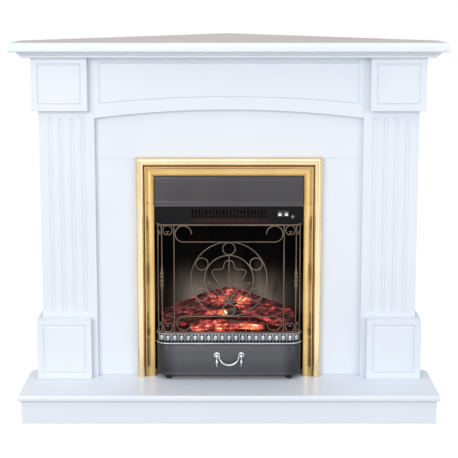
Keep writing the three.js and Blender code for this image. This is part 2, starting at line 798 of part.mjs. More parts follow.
// The palmette inside the middle ring: a hub, a rod, a crown bent from one wire and two low leaves
function fanWires() {
  const hub = [0, ringCentreHeight - innerRingRadius + 4];
  const rod = bowWire([hub, [0, ringCentreHeight + innerRingRadius - 1]], wireRadius * 1.15);
  const crownHalf = [
    ...arc(0, crownTop - crownHalfWidth, crownHalfWidth, Math.PI / 2, 0, 3),
    [crownHalfWidth + 1, crownTip + 11], [crownHalfWidth + 7, crownTip + 6.5],
    ...arc(crownReach - 6, crownTip, 6, Math.PI / 2, -Math.PI / 5, 3), hub,
  ];
  const [right, left] = bothHands(crownHalf);
  const crown = bowWire([...left.reverse(), ...right.slice(1)], fanWireRadius, 4);
  const [tipX, tipRise] = [leafReach, ringCentreHeight - leafDrop - hub[1]];
  const length = Math.hypot(tipX, tipRise);
  const beside = ([share, bulge]) => [
    tipX * share - (tipRise / length) * bulge, hub[1] + tipRise * share + (tipX / length) * bulge,
  ];
  const leaf = [[0.03, 0.7], [0.5, 5], [0.82, 5], [1, 0], [0.82, -5], [0.5, -5], [0.03, -0.7]].map(beside);
  const button = turnedForward([
    [0, -3], [hubRadius, -3], [hubRadius, 2], [hubRadius * 0.5, 3.4], [0, 3.4],
  ], hub[0], bowDepth + guardSetback, hub[1], 8);
  return [rod, crown, button, ...bothHands(leaf).map((points) => bowWire(points, fanWireRadius, 4))];
}

function makeGuard() {
  const rails = [bowRail(guardTop, railRadius, 6), bowRail(guardFoot, railRadius, 6)];
  const posts = [postSpacing, bowHalfLength - endPostInset]
    .flatMap((along) => bothHands([[along, guardFoot], [along, guardTop]]))
    .map((points) => bowWire(points, wireRadius * 1.1));
  const smallPitch = (outerRingRadius + innerRingRadius) / 2;
  const smallRings = Array.from({ length: smallRingCount }, (_, i) => {
    const turn = Math.PI / 2 + (i / smallRingCount) * Math.PI * 2;
    const [x, z] = [smallPitch * Math.cos(turn), ringCentreHeight + smallPitch * Math.sin(turn)];
    return ring(x, z, smallRingRadius, 12);
  });
  const cornerPlace = (postSpacing + spindleSpacing) / 2 - 1;
  const horns = [-1, 1].flatMap((side) => [
    hornScroll(side * cornerPlace, guardTop - cornerScrollRadius - 1.2, 1),
    hornScroll(side * cornerPlace, guardFoot + cornerScrollRadius + 1.2, -1),
  ]);
  const topWire = ringCentreHeight + outerRingRadius;
  const footWire = ringCentreHeight - outerRingRadius - wireRadius / 2;
  const waist = ringCentreHeight;
  const profile = [
    [0, guardFoot], [2.6, guardFoot], [2.8, waist - 60], [3.4, waist - 26], [5.6, waist - 16], [4, waist - 8],
    [6.4, waist - 6], [6.4, waist - 3], [4.2, waist], [6.4, waist + 3], [6.4, waist + 6], [4, waist + 8],
    [5.2, waist + 14], [3.2, waist + 24], [2.5, waist + 40], [2.5, guardTop], [0, guardTop],
  ];
  const [x, y] = onBow(spindleSpacing, guardSetback).place;
  const spindle = turnedUpright(profile, x, y, 7);
  add('guard', join([
    ...rails, spindle, mirrored(spindle), ...posts,
    ring(0, ringCentreHeight, outerRingRadius, 36), ring(0, ringCentreHeight, innerRingRadius, 26),
    ...smallRings, scrollWire(topWire, topScrollRadius, 1), scrollWire(footWire, footScrollRadius, -1),
    ...horns, ...fanWires(),
  ]), pewter);
}

function makeFret() {
  const eggMiddle = (fretBottom + fretTop) / 2;
  const eggs = Array.from({ length: 2 * eggsPerSide + 1 }, (_, i) => {
    const { place: [x, y], facing } = onBow((i - eggsPerSide) * eggPitch);
    return new THREE.SphereGeometry(1, 6, 4).rotateX(Math.PI / 2)
      .scale(eggHalfWidth, eggProud, eggHalfHeight)
      .rotateZ(Math.atan2(facing[1], facing[0]) + Math.PI / 2).translate(x, y, eggMiddle);
  });
  const darts = Array.from({ length: 2 * eggsPerSide + 2 }, (_, i) => {
    const { place: [x, y], facing } = onBow((i - eggsPerSide - 0.5) * eggPitch);
    return new THREE.CylinderGeometry(dartRadius, dartRadius * 0.6, eggHalfHeight * 2, 3).rotateX(Math.PI / 2)
      .rotateZ(Math.atan2(facing[1], facing[0]) + Math.PI / 2).translate(x, y, eggMiddle);
  });
  const band = bowStrip(0, fretThickness, beadHeight, fretTop - beadHeight);
  const ledge = bowStrip(-fretLip, fretLip + fretThickness, fretTop - fretLip, fretLip);
  const bead = bowRail(beadHeight, beadRadius, 6, beadRadius - fretLip);
  add('fret_band', join([band, ledge, bead, ...eggs, ...darts]), silverCast);
}

// A tab of the shell's side that comes forward to carry one end of the fret
function fretTab() {
  const [endX, endY] = onBow(bowHalfLength, fretThickness / 2).place;
  const start = endY + seatGap + fretThickness / 2;
  return planBoard([
    [endX - sheet / 2, start], [endX + sheet / 2, start], [endX + sheet / 2, surroundFace],
    [shellInnerHalf + sheet / 2, surroundFace], [shellInnerHalf + sheet / 2, surroundFace + sheet],
    [endX - sheet / 2, surroundFace + sheet],
  ], fretBottom, fretTop - fretBottom);
}

function makePan() {
  const bottom = hearthHeight + panFootHeight;
  const back = bowDepth + panDepth;
  const outline = bowOutline(0);
  const [endX, endY] = outline[outline.length - 1];
  const wall = bowStrip(0, sheet, bottom, panHeight);
  const tray = planBoard([...outline, [endX, back], [-endX, back]], bottom, sheet);
  const sideWall = planBoard(
    [[endX - sheet, endY - 0.5], [endX, endY], [endX, back], [endX - sheet, back]], bottom, panHeight);
  add('pan_cover', join([wall, tray, sideWall, mirrored(sideWall)]), panGraphite);

  const foot = turnedUpright([
    [0, hearthHeight + seatGap], [panFootRadius, hearthHeight + seatGap],
    [panFootRadius, bottom - 2], [panFootRadius - 1, bottom], [0, bottom],
  ], panFootSpacing, bowDepth + panDepth / 2);
  addPair('pan_foot', foot, rubber);

  const pivotDepth = bowDepth - handleStandoff;
  const rosette = turnedForward([
    [0, 0], [rosetteRadius, 0], [rosetteRadius, 1.6], [rosetteRadius - 2, 3.2], [5, 4], [4.2, 6],
    [5, handleStandoff - 2], [4.6, handleStandoff + 2.5], [2.6, handleStandoff + 4.2],
    [0, handleStandoff + 4.8],
  ], handleSpacing, bowDepth, handleHeight, 10);
  const dropTop = handleHeight - 3;
  const drop = turnedUpright([
    [0, dropTop - dropLength], [1.6, dropTop - dropLength + 1], [1.2, dropTop - dropLength + 4],
    [3.4, dropTop - dropLength + 9], [3.9, dropTop - dropLength + 13], [2.4, dropTop - dropLength + 19],
    [1.5, dropTop - dropLength + 22], [2, dropTop], [0, dropTop],
  ], handleSpacing, bowDepth - dropStandoff, 8);
  const pinHole = rodAcross(handleSpacing - 8, handleSpacing - 0.5, pinRadius + pinClearance,
    pivotDepth, handleHeight, 8);
  addPair('handle_plate', cut(join([rosette, drop]), [pinHole]), chrome);

  const bailHalf = handleSpacing - bailInset;
  const steps = 12;
  const centreline = Array.from({ length: steps + 1 }, (_, i) => {
    const turn = (i / steps) * Math.PI;
    const height = handleHeight - bailDrop * Math.sin(turn);
    return new THREE.Vector3(-bailHalf * Math.cos(turn), pivotDepth, height);
  });
  const rings = centreline.map((point, i) => {
    const turn = (i / steps) * Math.PI;
    const radius = bailRadius + bailSwell * Math.sin(turn);
    const side = new THREE.Vector3(-Math.cos(turn), 0, -Math.sin(turn));
    return roundSection(radius, 8).map(([across, rise]) => point.clone()
      .addScaledVector(side, across).add(new THREE.Vector3(0, rise, 0)));
  });
  const pin = rodAcross(bailHalf - 1, handleSpacing - 1.5, pinRadius, pivotDepth, handleHeight, 8);
  add('handle_bail', join([loft(rings), pin, mirrored(pin)]), chrome);
}

// ---- Hood and controls --------------------------------------------------------------------------

// The section of bent sheet whose outer face follows a line, its thickness on the line's right
function sheetSection(line, thickness) {
  const inner = line.map(([x, y], i) => {
    const legs = [line[i - 1] && [x - line[i - 1][0], y - line[i - 1][1]],
      line[i + 1] && [line[i + 1][0] - x, line[i + 1][1] - y]].filter(Boolean);
    const normals = legs.map(([dx, dy]) => [dy / Math.hypot(dx, dy), -dx / Math.hypot(dx, dy)]);
    const [nx, ny] = [0, 1].map((axis) => normals.reduce((sum, normal) => sum + normal[axis], 0));
    const scale = normals.length === 2 ? thickness * 2 / (nx * nx + ny * ny) : thickness;
    return [x + nx * scale, y + ny * scale];
  });
  return [...line, ...inner.reverse()];
}

function makeHood() {
  const half = fireHalfWidth - 1;
  const lip = fireTop - hoodHeight;
  const nose = bowDepth + beadRadius * 2 + 16;
  const belly = nose + hoodFlare * 0.6;
  const top = fireTop - seatGap;
  const front = [
    [nose, lip], [nose + 1, lip + 3], [belly, lip + 11], [belly + 1.5, fireTop - 13],
    [belly + hoodStep + 1.5, fireTop - 9], [belly + hoodStep + 1.5, top - 4], [belly + hoodStep + 5, top],
    [panelFace, top], [panelFace, shellTop - sheet - seatGap],
  ];
  const face = sideRun(sheetSection(front, sheet), -half, half);
  const cheek = [[belly + 2, lip + 12], [belly + 3, fireTop - 14], [belly + hoodStep + 2.5, fireTop - 9],
    [belly + hoodStep + 2.5, top - 1], [panelFace, top - 1], [panelFace, lip + 12]];
  const ends = [-half, half - sheet].map((x) => sideRun(cheek, x, x + sheet));
  add('hood', join([face, ...ends]), graphiteSheet);
}

function makeControls() {
  const panelTop = fireTop - 2;
  const holes = Array.from({ length: slotCount }, (_, i) => {
    const x = (i - (slotCount - 1) / 2) * slotPitch;
    return block([x - slotWidth / 2, x + slotWidth / 2], [panelFace - 1, panelBack + 1],
      [slotBottom, slotBottom + slotHeight]);
  });
  const rockerReach = Math.hypot(rockerHalf, rockerFace);
  const windowHalf = rockerReach * Math.sin(Math.PI / 4 + rockerTilt) + rockerClearance;
  const windowWidth = rockerWidth + 2 * rockerClearance;
  const rockerWindow = (x, from, to) => block([x - windowWidth / 2, x + windowWidth / 2], [from, to],
    [rockerHeight - windowHalf, rockerHeight + windowHalf]);
  rockerPlaces.forEach((x) => holes.push(rockerWindow(x, panelFace - 1, panelBack + 1)));
  holes.push(turnedForward([
    [0, -5], [knobShaftRadius + shaftClearance, -5], [knobShaftRadius + shaftClearance, 5], [0, 5],
  ], knobPlace, panelFace, knobHeight));
  const plate = block([-shellInnerHalf + seatGap, shellInnerHalf - seatGap], [panelFace, panelBack],
    [panelBottom, panelTop]);
  const foldedEdge = block([-shellInnerHalf + seatGap, shellInnerHalf - seatGap], [panelFace, panelFace + 16],
    [panelBottom, panelBottom + sheet]);
  add('control_panel', join([cut(plate, holes), foldedEdge]), blackSheet);

  const [firstRocker, lastRocker] = rockerPlaces;
  const twin = (rim, from, to, windowBack) => cut(block(
    [firstRocker - windowWidth / 2 - rim, lastRocker + windowWidth / 2 + rim], [from, to],
    [rockerHeight - windowHalf - rim, rockerHeight + windowHalf + rim],
  ), rockerPlaces.map((x) => rockerWindow(x, 0, windowBack)));
  add('switch_bezel', twin(bezelRim, panelFace - bezelProud, panelFace, shellBack), blackPlastic);
  add('switch_body',
    twin(sheet, panelBack, panelBack + switchDepth, panelBack + switchDepth / 2), blackPlastic);
  const dimmer = cut(turnedForward([
    [0, -dimmerDepth], [dimmerRadius, -dimmerDepth], [dimmerRadius, 0], [0, 0],
  ], knobPlace, panelBack, knobHeight), [turnedForward([
    [0, -knobShaftLength], [knobShaftRadius + shaftClearance, -knobShaftLength],
    [knobShaftRadius + shaftClearance, 5], [0, 5],
  ], knobPlace, panelBack, knobHeight)]);
  add('dimmer_body', dimmer, blackPlastic);

  const pivot = panelBack + 0.6;
  ['heat_rocker', 'fan_rocker'].forEach((name, i) => {
    const x = rockerPlaces[i];
    const section = [
      [2.5, -3], [2.5, 3], [-3, rockerHalf], [-rockerFace, rockerHalf], [-rockerFace + 1.6, 0],
      [-rockerFace, -rockerHalf], [-3, -rockerHalf],
    ].map(([deep, up]) => [
      pivot + deep * Math.cos(rockerTilt) - up * Math.sin(rockerTilt),
      rockerHeight + deep * Math.sin(rockerTilt) + up * Math.cos(rockerTilt),
    ]);
    add(name, sideRun(section, x - rockerWidth / 2, x + rockerWidth / 2), ivoryPlastic);
  });

  const knob = turnedForward([
    [0, -knobShaftLength], [knobShaftRadius, -knobShaftLength], [knobShaftRadius, seatGap],
    [knobRadius, seatGap], [knobRadius, 2], [knobRadius - 0.7, 2.6], [knobRadius - 1.1, knobLength - 0.8],
    [knobRadius - 1.9, knobLength], [0, knobLength],
  ], knobPlace, panelFace, knobHeight, 14);
  const pointer = block([knobPlace - 0.6, knobPlace + 0.6], [panelFace - knobLength - 0.7, panelFace - 3],
    [knobHeight, knobHeight + knobRadius - 1]);
  add('dimmer_knob', join([knob, pointer]), ivoryPlastic);
}

// ---- Fire bed, logs and flame effect ------------------------------------------------------------

function bedHeightAt(x, y) {
  const rise = ((y - bedFront) / (bedBack - bedFront)) * bedSlope;
  const ripple = 4 * Math.sin(x / 17) * Math.cos((y - bedFront) / 13 + 1.1014);
  return bedTop + rise + ripple + 3 * Math.sin(x / 41 + 1);
}

// The bed's crust between its surface and a level under it, or the space up to a raised surface
function bedCrust(raise, underside) {
  const [columns, rows] = [18, 5];
  const rings = Array.from({ length: columns + 1 }, (_, i) => {
    const x = -bedHalfWidth + (2 * bedHalfWidth * i) / columns;
    const depths = Array.from({ length: rows + 1 }, (__, j) => bedFront + ((bedBack - bedFront) * j) / rows);
    const upper = depths.map((y) => new THREE.Vector3(x, y, bedHeightAt(x, y) + raise));
    const lower = depths.map((y) => new THREE.Vector3(x, y, underside(x, y))).reverse();
    return [...upper, ...lower];
  });
  return loft(rings);
}

function logGeometry({ from, to, radius, sway, seed }, swell = 0) {
  const [start, end] = [from, to].map(([x, beyond, lift]) => (
    new THREE.Vector3(x, bedFront + beyond, bedTop + lift)));
  const [sides, stations] = [8, 8];
  const along = new THREE.Vector3().subVectors(end, start).normalize();
  const across = new THREE.Vector3().crossVectors(along, new THREE.Vector3(0, 0, 1)).normalize();
  const above = new THREE.Vector3().crossVectors(across, along);
  const rings = Array.from({ length: stations + 1 }, (_, i) => {
    const share = i / stations;
    const middle = start.clone().lerp(end, share).addScaledVector(above, sway * Math.sin(share * Math.PI));
    const taper = 0.62 + 0.38 * Math.sin(Math.PI * Math.min(0.98, 0.08 + share * 0.9)) ** 0.5;
    return Array.from({ length: sides }, (__, j) => {
      const turn = (j / sides) * Math.PI * 2;
      const knots = 1 + 0.11 * Math.sin(turn * 2 + seed + share * 5)
        + 0.08 * Math.sin(turn * 3 - share * 9 + seed);
      const reach = radius * taper * knots + swell;
      return middle.clone().addScaledVector(across, reach * Math.cos(turn))
        .addScaledVector(above, reach * 0.9 * Math.sin(turn));
    });
  });
  return loft(rings);
}

// Each log's ends are measured from the middle of the bed's front edge
const logs = [
  { name: 'log_left', from: [-180, 54, 26], to: [-6, 72, 84], radius: 27, sway: 3, seed: 0.4 },
  { name: 'log_right', from: [176, 46, 24], to: [16, 74, 88], radius: 27, sway: 2, seed: 2.1 },
  { name: 'log_middle', from: [-158, 22, 20], to: [-8, 28, 50], radius: 17, sway: 2, seed: 4.4 },
  { name: 'log_small', from: [158, 16, 18], to: [18, 30, 56], radius: 17, sway: 2, seed: 5.5 },
  { name: 'log_front', from: [-104, 12, 12], to: [96, 10, 14], radius: 17, sway: 5, seed: 3.2 },
];

function makeFireBed() {
  const crust = bedCrust(0, (x, y) => bedHeightAt(x, y) - bedThickness);
  const wallTop = bedTop - bedSag;
  const back = block([-bedHalfWidth, bedHalfWidth], [bedBack - bedThickness, bedBack],
    [shellFloor + seatGap, wallTop + bedSlope]);
  const cheek = block([bedHalfWidth - bedThickness, bedHalfWidth], [surroundFace + 3, bedBack],
    [shellFloor + seatGap, wallTop]);
  add('ember_bed', join([crust, back, cheek, mirrored(cheek)]), emberResin);

  const clearOfBed = bedCrust(seatGap, () => bedTop - 60);
  logs.forEach((log, i) => {
    const earlier = logs.slice(0, i).map((other) => logGeometry(other, seatGap));
    add(log.name, cut(logGeometry(log), [clearOfBed, ...earlier]), logResin);
  });

  const screenFace = surroundFace + screenSetback;
  add('flame_screen', block([-shellInnerHalf + seatGap, shellInnerHalf - seatGap],
    [screenFace, screenFace + screenThickness], [shellFloor + seatGap, screenTop]), frostedPanel);
}

function makeLamps() {
  const axis = surroundFace + lampSetback;
  const stem = block([-1, 1], [axis - 18, axis + 18], [shellFloor, lampHeight + 18]);
  const base = block([-22, 22], [axis - 18, axis + 18], [shellFloor, shellFloor + sheet]);
  const holder = turnedAcross([
    [0, 1], [holderRadius, 1], [holderRadius, holderLength - 5], [holderRadius - 1.5, holderLength],
    [0, holderLength],
  ], axis, lampHeight, 14);
  add('lamp_holders', join([stem, base, holder, mirrored(holder)]), zincSteel);

  const start = holderLength;
  const lamp = turnedAcross([
    [0, start], [7, start], [7.5, start + 10], [11, start + 22], [lampRadius, start + 44],
    [lampRadius * 0.93, start + 60], [lampRadius * 0.62, start + lampLength - 18],
    [4, start + lampLength - 3],
    [0, start + lampLength],
  ], axis, lampHeight, 14);
  addPair('lamp', lamp, lampGlass);
}

function makeFlameEffect() {
  const axis = surroundFace + spindleSetback;
  const rod = rodAcross(-shellHalfWidth, spindleRight, spindleRadius, axis, spindleHeight, 10);
  const span = spindleRight - vaneStart - 2 * vaneLength;
  const vanes = Array.from({ length: vaneCount }, (_, i) => {
    const x = vaneStart + vaneLength * 0.7 + (span * (i + 0.5)) / vaneCount;
    return new THREE.BoxGeometry(vaneLength, 1, vaneWidth * 2).rotateX((i * Math.PI) / 5)
      .translate(x, axis, spindleHeight);
  });
  add('flame_spindle', join([rod, ...vanes]), zincSteel);

  const motorStart = spindleRight - 7;
  const motor = turnedAcross([
    [0, motorStart], [spindleRadius + 3, motorStart], [spindleRadius + 3, spindleRight + 0.5],
    [flameMotorRadius, spindleRight + 1], [flameMotorRadius, spindleRight + flameMotorLength - 1],
    [0, spindleRight + flameMotorLength - 1],
  ], axis, spindleHeight, 16);
  const stand = block([spindleRight + 4, spindleRight + flameMotorLength - 6], [axis - 14, axis + 14],
    [shellFloor, spindleHeight - flameMotorRadius * 0.6]);
  const bore = rodAcross(motorStart - 1, spindleRight + seatGap, spindleRadius + shaftClearance,
    axis, spindleHeight);
  add('flame_motor', cut(join([motor, stand]), [bore]), blackPlastic);
}

// ---- Blower heater behind the control panel -----------------------------------------------------

function makeBlower() {
  const axis = surroundFace + blowerSetback;
  const shaftRight = blowerHalfLength + 20;
  const shaft = rodAcross(-blowerHalfLength - 13, shaftRight, blowerShaftRadius, axis, blowerHeight, 10);
  const discs = [-1, 0, 1].map((place) => {
    const x = place * (blowerHalfLength - 1);
    return rodAcross(x - 1, x + 1, blowerRadius, axis, blowerHeight, 14);
  });
  const blades = Array.from({ length: bladeCount }, (_, i) => (
    new THREE.BoxGeometry(blowerHalfLength * 2 - 2, bladeWidth, 1)
      .translate(0, blowerRadius - 1 - bladeWidth / 2, 0)
      .rotateX((i / bladeCount) * Math.PI * 2).translate(0, axis, blowerHeight)
  ));
  add('blower_rotor', join([shaft, ...discs, ...blades]), zincSteel);

  const sweepRadius = blowerRadius + housingGap;
  const mouth = panelBack + seatGap;
  const scroll = [
    [mouth, slotBottom - 6], ...arc(axis, blowerHeight, sweepRadius, -1.75, 1.2, 10),
  ];
  const scrollBack = [
    ...arc(axis, blowerHeight, sweepRadius + sheet, -1.75, 1.2, 10).reverse(),
    [mouth, slotBottom - 6 - sheet],
  ];
  const cutoff = [
    [mouth, slotBottom + slotHeight + 6], [axis - sweepRadius - 2, blowerHeight - 18],
    [axis - sweepRadius - 2, blowerHeight - 18 + sheet], [mouth, slotBottom + slotHeight + 6 + sheet],
  ];
  const wide = blowerHalfLength + 8;
  const walls = [sideRun([...scroll, ...scrollBack], -wide, wide), sideRun(cutoff, -wide, wide)];
  const end = block([wide - sheet, wide], [mouth, axis + sweepRadius + 3],
    [slotBottom - 8, blowerHeight + sweepRadius + 2]);
  const boreRadius = blowerShaftRadius + shaftClearance;
  const shaftHole = rodAcross(-wide - 5, wide + 5, boreRadius, axis, blowerHeight, 12);
  add('blower_housing', cut(join([...walls, end, mirrored(end)]), [shaftHole]), zincSteel);

  const motor = turnedAcross([
    [0, wide + seatGap], [blowerMotorRadius * 0.5, wide + seatGap], [blowerMotorRadius, wide + 6],
    [blowerMotorRadius, wide + blowerMotorLength - 4], [blowerMotorRadius * 0.6, wide + blowerMotorLength],
    [0, wide + blowerMotorLength],
  ], axis, blowerHeight, 18);
  const bore = rodAcross(wide - 1, shaftRight + 0.5, boreRadius, axis, blowerHeight, 12);
  add('blower_motor', cut(motor, [bore]), blackPlastic);

  const elementDepth = panelBack + elementSetback;
  const elementMiddle = slotBottom + slotHeight * 0.75;
  const plateX = wide - sheet - seatGap;
  const rods = Array.from({ length: elementRods }, (_, i) => rodAcross(-plateX + 1, plateX - 1, elementRadius,
    elementDepth, elementMiddle + (i - (elementRods - 1) / 2) * elementPitch, 8));
  const plate = block([plateX - sheet, plateX], [elementDepth - 6, elementDepth + 6],
    [elementMiddle - elementPitch * 1.2, elementMiddle + elementPitch * 1.2]);
  add('heater_element', join([...rods, plate, mirrored(plate)]), zincSteel);
}

makeHearth();
makeMantel();
makeTrim();
makeFirebox();
makeGuard();
makeFret();
makePan();
makeHood();
makeControls();
makeFireBed();
makeLamps();
makeFlameEffect();
makeBlower();

export default group;
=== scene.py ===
import json
import math
import random

import bmesh
import bpy
from mathutils import Matrix, Vector, noise

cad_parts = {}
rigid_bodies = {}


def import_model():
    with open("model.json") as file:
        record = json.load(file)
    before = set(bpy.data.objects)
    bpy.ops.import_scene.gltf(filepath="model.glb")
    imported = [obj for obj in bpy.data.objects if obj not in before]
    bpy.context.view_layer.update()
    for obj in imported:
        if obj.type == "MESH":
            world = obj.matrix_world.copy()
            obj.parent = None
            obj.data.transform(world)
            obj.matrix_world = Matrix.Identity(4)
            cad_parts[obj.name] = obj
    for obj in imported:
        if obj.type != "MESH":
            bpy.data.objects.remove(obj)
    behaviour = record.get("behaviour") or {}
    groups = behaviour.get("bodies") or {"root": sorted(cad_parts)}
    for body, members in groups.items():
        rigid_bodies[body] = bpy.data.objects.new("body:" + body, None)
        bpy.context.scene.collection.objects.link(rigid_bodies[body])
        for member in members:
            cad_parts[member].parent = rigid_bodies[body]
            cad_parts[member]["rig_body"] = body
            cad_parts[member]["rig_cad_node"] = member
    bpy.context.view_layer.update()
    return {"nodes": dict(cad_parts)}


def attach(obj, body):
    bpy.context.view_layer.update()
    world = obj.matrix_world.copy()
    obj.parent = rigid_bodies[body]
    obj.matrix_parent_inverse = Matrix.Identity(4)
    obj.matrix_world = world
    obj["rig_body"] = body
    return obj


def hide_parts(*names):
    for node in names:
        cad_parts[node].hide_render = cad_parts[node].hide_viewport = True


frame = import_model()
nodes = frame["nodes"]
scene = bpy.context.scene
mm = 0.001
print("frame loaded:", len(nodes), "nodes")


# ---- camera

camera = {
    "place": (0.0, -3.1735, 1.120),
    "tilt": 8.022,  # degrees below level
    "lens": 87.94,
    "sensor": 36.0,
    "shiftY": -0.17,  # keeps the uprights nearly upright, as the photograph does
}

bpy.ops.object.camera_add(location=camera["place"], rotation=(math.radians(90 - camera["tilt"]), 0, 0))
viewer = bpy.context.object
viewer.name = "viewer"
viewer.data.lens = camera["lens"]
viewer.data.sensor_width = camera["sensor"]
viewer.data.shift_y = camera["shiftY"]
viewer.data.clip_start = 0.05
viewer.data.clip_end = 60
scene.camera = viewer


# ---- workshop helpers

def clearSelection():
    if bpy.context.object and bpy.context.object.mode != "OBJECT":
        bpy.ops.object.mode_set(mode="OBJECT")
    bpy.ops.object.select_all(action="DESELECT")


def pick(*pieces):
    clearSelection()
    for piece in pieces:
        piece.select_set(True)
    bpy.context.view_layer.objects.active = pieces[0]


def editPiece(piece, mode="FACE"):
    pick(piece)
    bpy.ops.object.mode_set(mode="EDIT")
    bpy.ops.mesh.select_mode(type=mode)
    bpy.ops.mesh.select_all(action="DESELECT")
    return bmesh.from_edit_mesh(piece.data)


def chooseFaces(piece, test):
    mesh = editPiece(piece, "FACE")
    for face in mesh.faces:
        face.select_set(bool(test(face)))
    bmesh.update_edit_mesh(piece.data)


def editWhole(piece, mode="FACE"):
    editPiece(piece, mode)
    bpy.ops.mesh.select_all(action="SELECT")


def discard(*pieces):
    pick(*pieces)
    bpy.ops.object.delete()


def leaveEdit():
    bpy.ops.object.mode_set(mode="OBJECT")


def applyModifier(piece, kind, **settings):
    pick(piece)
    bpy.ops.object.modifier_add(type=kind)
    step = piece.modifiers[-1]
    for name, value in settings.items():
        setattr(step, name, value)
    bpy.ops.object.modifier_apply(modifier=step.name)


def joinPieces(pieces):
    pick(*pieces)
    if len(pieces) > 1:
        bpy.ops.object.join()
    return bpy.context.object


def copyPiece(piece, place=(0, 0, 0)):
    pick(piece)
    bpy.ops.object.duplicate()
    twin = bpy.context.object
    twin.location = [value * mm for value in place]
    return settle(twin)


def mirrorPiece(piece):
    twin = copyPiece(piece)
    twin.scale = (-1, 1, 1)
    settle(twin)
    return faceOut(twin)


def settle(piece):
    pick(piece)
    bpy.ops.object.transform_apply(location=True, rotation=True, scale=True)
    return piece


def faceOut(piece):
    editWhole(piece)
    bpy.ops.mesh.remove_doubles(threshold=0.000005)
    bpy.ops.mesh.normals_make_consistent(inside=False)
    leaveEdit()
    return piece


# Gives a piece its finish, and hangs it on the body that carries it
def finishPiece(piece, name, material, body="surround", stands=(), smooth=40):
    settle(piece)
    piece.name = name
    piece.data.name = name
    bpy.ops.object.shade_smooth_by_angle(angle=math.radians(smooth))
    piece.data.materials.clear()
    piece.data.materials.append(material)
    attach(piece, body)
    if stands:
        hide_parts(*stands)
    return piece


# A copy of a CAD node with its loose triangles merged and its sharp edges eased
def easeNode(node, material, ease=0.7, sharp=40, smooth=40, body="surround"):
    pick(nodes[node])
    bpy.ops.object.duplicate()
    piece = bpy.context.object
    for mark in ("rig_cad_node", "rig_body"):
        if mark in piece:
            del piece[mark]
    piece.parent = None
    piece.matrix_world = Matrix.Identity(4)
    editWhole(piece, "VERT")
    bpy.ops.mesh.remove_doubles(threshold=0.00001)
    bpy.ops.mesh.dissolve_limited(angle_limit=math.radians(0.6))
    leaveEdit()
    applyModifier(
        piece, "BEVEL", width=ease * mm, segments=2, limit_method="ANGLE",
        angle_limit=math.radians(sharp), use_clamp_overlap=True,
    )
    pick(piece)
    bpy.ops.object.shade_smooth_by_angle(angle=math.radians(smooth))
    applyModifier(piece, "WEIGHTED_NORMAL", keep_sharp=True, weight=80)
    piece.name = node + "_finished"
    piece.data.name = piece.name
    piece.data.materials.clear()
    piece.data.materials.append(material)
    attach(piece, body)
    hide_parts(node)
    return piece


# A face whose corners are moved to the points given, as (x, y, z) in millimetres
def drawFace(points):
    pick(viewer)
    bpy.ops.mesh.primitive_circle_add(vertices=len(points), radius=0.01, fill_type="NGON")
    piece = bpy.context.object
    for vertex, point in zip(piece.data.vertices, points):
        vertex.co = [value * mm for value in point]
    return piece


def extrudeFace(piece, *moves):
    editWhole(piece)
    for move in moves:
        bpy.ops.mesh.extrude_region_move(
            TRANSFORM_OT_translate={"value": [value * mm for value in move]})
    leaveEdit()
    return faceOut(piece)


def planBoard(outline, bottom, height):
    return extrudeFace(drawFace([(x, y, bottom) for x, y in outline]), (0, 0, height))


def runAcross(section, x0, x1):
    face = drawFace([(x0, y, z) for y, z in section])
    return extrudeFace(face, (x1 - x0, 0, 0))


# A turned piece: its profile runs as (radius, height) from foot to head, on an upright axis
def turnPiece(profile, place=(0, 0, 0), sides=32, lay=None):
    radius, height = max(profile[0][0], 0.02), profile[0][1]
    pick(viewer)
    bpy.ops.mesh.primitive_circle_add(
        vertices=sides, radius=radius * mm, fill_type="NGON", location=(0, 0, height * mm))
    piece = settle(bpy.context.object)
    editWhole(piece)
    for nextRadius, nextHeight in profile[1:]:
        nextRadius = max(nextRadius, 0.02)
        bpy.ops.mesh.extrude_region_move(
            TRANSFORM_OT_translate={"value": (0, 0, (nextHeight - height) * mm)})
        share = nextRadius / radius
        bpy.ops.transform.resize(value=(share, share, 1), center_override=(0, 0, nextHeight * mm))
        radius, height = nextRadius, nextHeight
    leaveEdit()
    faceOut(piece)
    if lay == "forward":  # its head comes out of the front
        piece.rotation_euler = (math.pi / 2, 0, 0)
    if lay == "backward":
        piece.rotation_euler = (-math.pi / 2, 0, 0)
    if lay == "across":
        piece.rotation_euler = (0, math.pi / 2, 0)
    piece.location = [value * mm for value in place]
    return settle(piece)


# A wire bent flat in the front plane, by moves of ("run", length) and ("turn", radius, degrees)
def bendWire(start, heading, moves, radius, depth=0.0, sides=10, grain=5.0):
    x, z = start
    angle = math.radians(heading)
    pick(viewer)
    bpy.ops.mesh.primitive_circle_add(
        vertices=sides, radius=radius * mm, fill_type="NGON", rotation=(0, math.pi / 2, 0))
    piece = settle(bpy.context.object)
    piece.rotation_euler = (0, -angle, 0)
    piece.location = (x * mm, depth * mm, z * mm)
    settle(piece)
    editWhole(piece)
    for kind, size, *degrees in moves:
        if kind == "run":
            dx = math.cos(angle) * size
            dz = math.sin(angle) * size
            bpy.ops.mesh.extrude_region_move(TRANSFORM_OT_translate={"value": (dx * mm, 0, dz * mm)})
            x, z = x + dx, z + dz
        else:
            sweep = math.radians(degrees[0])
            side = 1 if sweep > 0 else -1
            centreX = x - math.sin(angle) * size * side
            centreZ = z + math.cos(angle) * size * side
            steps = max(2, round(abs(sweep) * size / grain), round(abs(sweep) / 0.22))
            bpy.ops.mesh.spin(
                steps=steps, angle=sweep, center=(centreX * mm, depth * mm, centreZ * mm), axis=(0, 1, 0))
            angle += sweep
            x = centreX + math.sin(angle) * size * side
            z = centreZ - math.cos(angle) * size * side
    leaveEdit()
    return faceOut(piece)


